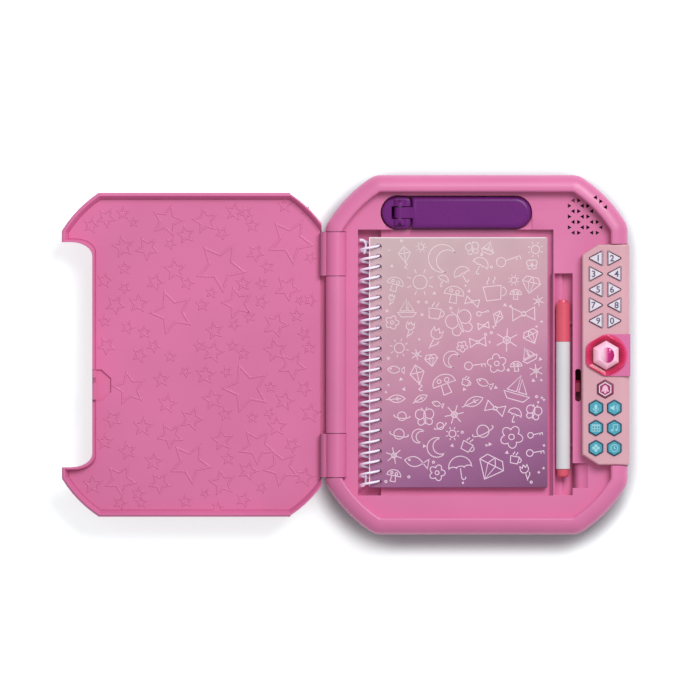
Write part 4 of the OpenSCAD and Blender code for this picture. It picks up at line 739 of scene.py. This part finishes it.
def tube(name, body, material, path, across, radius, sides=12):
    """Round wire along a path: rings of points at radius from it, in the plane of the across direction, made
    square to the path, and of the direction square to both. The ends are closed."""
    path = np.asarray(path, float)
    way = np.gradient(path, axis=0)
    way /= np.linalg.norm(way, axis=1)[:, None]
    out = across - (across * way).sum(1)[:, None] * way
    out /= np.linalg.norm(out, axis=1)[:, None]
    up = np.cross(way, out)
    angle = np.radians(360 / sides) * np.arange(sides)
    points = (path[:, None] + radius * (np.cos(angle)[None, :, None] * out[:, None]
                                        + np.sin(angle)[None, :, None] * up[:, None]))
    ring, side = np.meshgrid(np.arange(len(path) - 1), np.arange(sides), indexing="ij")
    after = (side + 1) % sides
    faces = np.stack([ring * sides + side, ring * sides + after, (ring + 1) * sides + after,
                      (ring + 1) * sides + side], -1).reshape(-1, 4).tolist()
    faces += [list(range(sides))[::-1], list(range((len(path) - 1) * sides, len(path) * sides))]
    return piece(name, body, material, points, faces)


def eased(points, steps=6):
    """Smooth path through points: on each stretch, a cubic whose slope at a point is half the line between
    its two neighbours."""
    p = np.asarray(points, float)
    ends = np.concatenate([[2 * p[0] - p[1]], p, [2 * p[-1] - p[-2]]])
    t = (np.arange(steps) / steps)[None, :, None]
    a, b, c, d = (ends[i:len(ends) - 3 + i, None] for i in range(4))
    made = 0.5 * (2 * b + (c - a) * t + (2 * a - 5 * b + 4 * c - d) * t ** 2
                  + (3 * b - a - 3 * c + d) * t ** 3)
    return np.concatenate([made.reshape(-1, 3), p[-1:]])


turns = np.radians(np.arange(360 * COIL_TURNS[0], 360 * COIL_TURNS[1] + 1, 360 / TURN_STEPS))
helix = np.stack([COIL[0] + COIL_R * np.cos(turns), COIL[1] - COIL_PITCH * turns / (2 * np.pi),
                  COIL[2] + COIL_R * np.sin(turns)], 1)
first = [(-73.9, 66.3, 22.6), (-72.9, 69.6, 21.4), (-72.7, 72.6, 21.2), (-73.9, 74.8, 21.5),
         (-75.8, 75.5, 22.4)]
last = [(-76.0, -86.1, 22.6), (-74.6, -86.0, 21.6), (-73.0, -84.4, 21.2), (-72.7, -81.6, 21.4),
        (-72.9, -79.2, 22.0)]
wire = np.concatenate([eased(first + [helix[0]])[:-1], helix, eased([helix[-1]] + last)[1:]])
radial = (wire - COIL) * (1, 0, 1)
coil = tube("wire_coil", "coil", coil_nylon, wire, radial, WIRE / 2)
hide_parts("spiral_coil")


# Pen: a white barrel of moulded polystyrene, with a cap and an end plug of coral polypropylene pushed on, and
# a steel nib on an ink tube inside. Both plastics come glossy from the mould.
pen_white = plastic("moulded_PS_white", "#dcdae0", 0.24)
pen_coral = plastic("moulded_PP_coral", "#df586e", 0.3)
casing("pen_barrel", pen_white)
casing("pen_end_plug", pen_coral)
casing("pen_cap", pen_coral)
dress(plating, "pen_nib")
dress(plastic("ballpoint_ink_blue", "#26389a", 0.25), "pen_refill")


# Stage: a floor of matt white board and plain studio light from above. The board's colour is darkened as a
# painted shadow where the diary stands close over it, found by an occlusion test leaning towards the light,
# and it clears to plain white beyond, for the rays that show it and not for the light on the diary.
FLOOR = 3000 * MM
floor_mesh = bpy.data.meshes.new("floor")
floor_mesh.from_pydata([(-FLOOR, -FLOOR, 0), (FLOOR, -FLOOR, 0), (FLOOR, FLOOR, 0), (-FLOOR, FLOOR, 0)],
                       [], [(0, 1, 2, 3)])
floor = stand("floor", floor_mesh)
white = bpy.data.materials.new("matt_white_board")
white.use_nodes = True
shader = white.node_tree.nodes["Principled BSDF"]
shader.inputs["Roughness"].default_value = 0.9
lean = node(white, "CombineXYZ", {"Y": 0.25, "Z": 0.97}).outputs["Vector"]
clear = node(white, "AmbientOcclusion", {"Distance": 20 * MM, "Normal": lean}).outputs["AO"]
# Painted shadow: the board's colour darkens where the occlusion test finds the diary close.
shade = node(white, "ValToRGB", {"Fac": clear}, stops=((0.4, "#ccd4d6"), (0.7, "#d8e1e3"), (0.85, "#e4efef")))
join(white, shade.outputs["Color"], shader.inputs["Base Color"])
rays = node(white, "LightPath").outputs
shiny = node(white, "Math", {0: rays["Is Glossy Ray"], 1: rays["Is Transmission Ray"]}, operation="MAXIMUM")
seen = node(white, "Math", {0: rays["Is Camera Ray"], 1: shiny.outputs["Value"]}, operation="MAXIMUM")
cleared = node(white, "MapRange", {"Value": clear, "From Min": 0.58, "From Max": 0.88, "To Max": 0.6})
lifted = node(white, "Math", {0: seen.outputs["Value"], 1: cleared.outputs["Result"]}, operation="MULTIPLY")
glow = node(white, "Emission", {"Color": linear("#ffffff"), "Strength": lifted.outputs["Value"]})
both = node(white, "AddShader", {0: shader.outputs["BSDF"], 1: glow.outputs["Emission"]})
join(white, both.outputs["Shader"], white.node_tree.nodes["Material Output"].inputs["Surface"])
floor_mesh.materials.append(white)

scene = bpy.context.scene
scene.view_settings.view_transform = "Standard"
world = bpy.data.worlds.new("studio")
scene.world = world
world.use_nodes = True
world.node_tree.nodes["Background"].inputs["Color"].default_value = (1, 1, 1, 1)
world.node_tree.nodes["Background"].inputs["Strength"].default_value = 0.42

# Key light: a soft box a metre wide, aimed at the middle of the open diary.
softbox = bpy.data.lights.new("key_light", "AREA")
softbox.size = 1.0
softbox.energy = 29.8
holder = stand("key_light", softbox)
holder.location = (0.66, 1.0, 1.75)
holder.rotation_euler = (Vector((0.03, 0, 0)) - holder.location).to_track_quat("-Z", "Y").to_euler()

# Camera: straight above, without perspective, framed as the photograph is.
lens = bpy.data.cameras.new("camera")
lens.type = "ORTHO"
lens.ortho_scale = 0.4596
camera = stand("camera", lens)
camera.location = (0.0026, 0.0031, 1.5)
scene.camera = camera
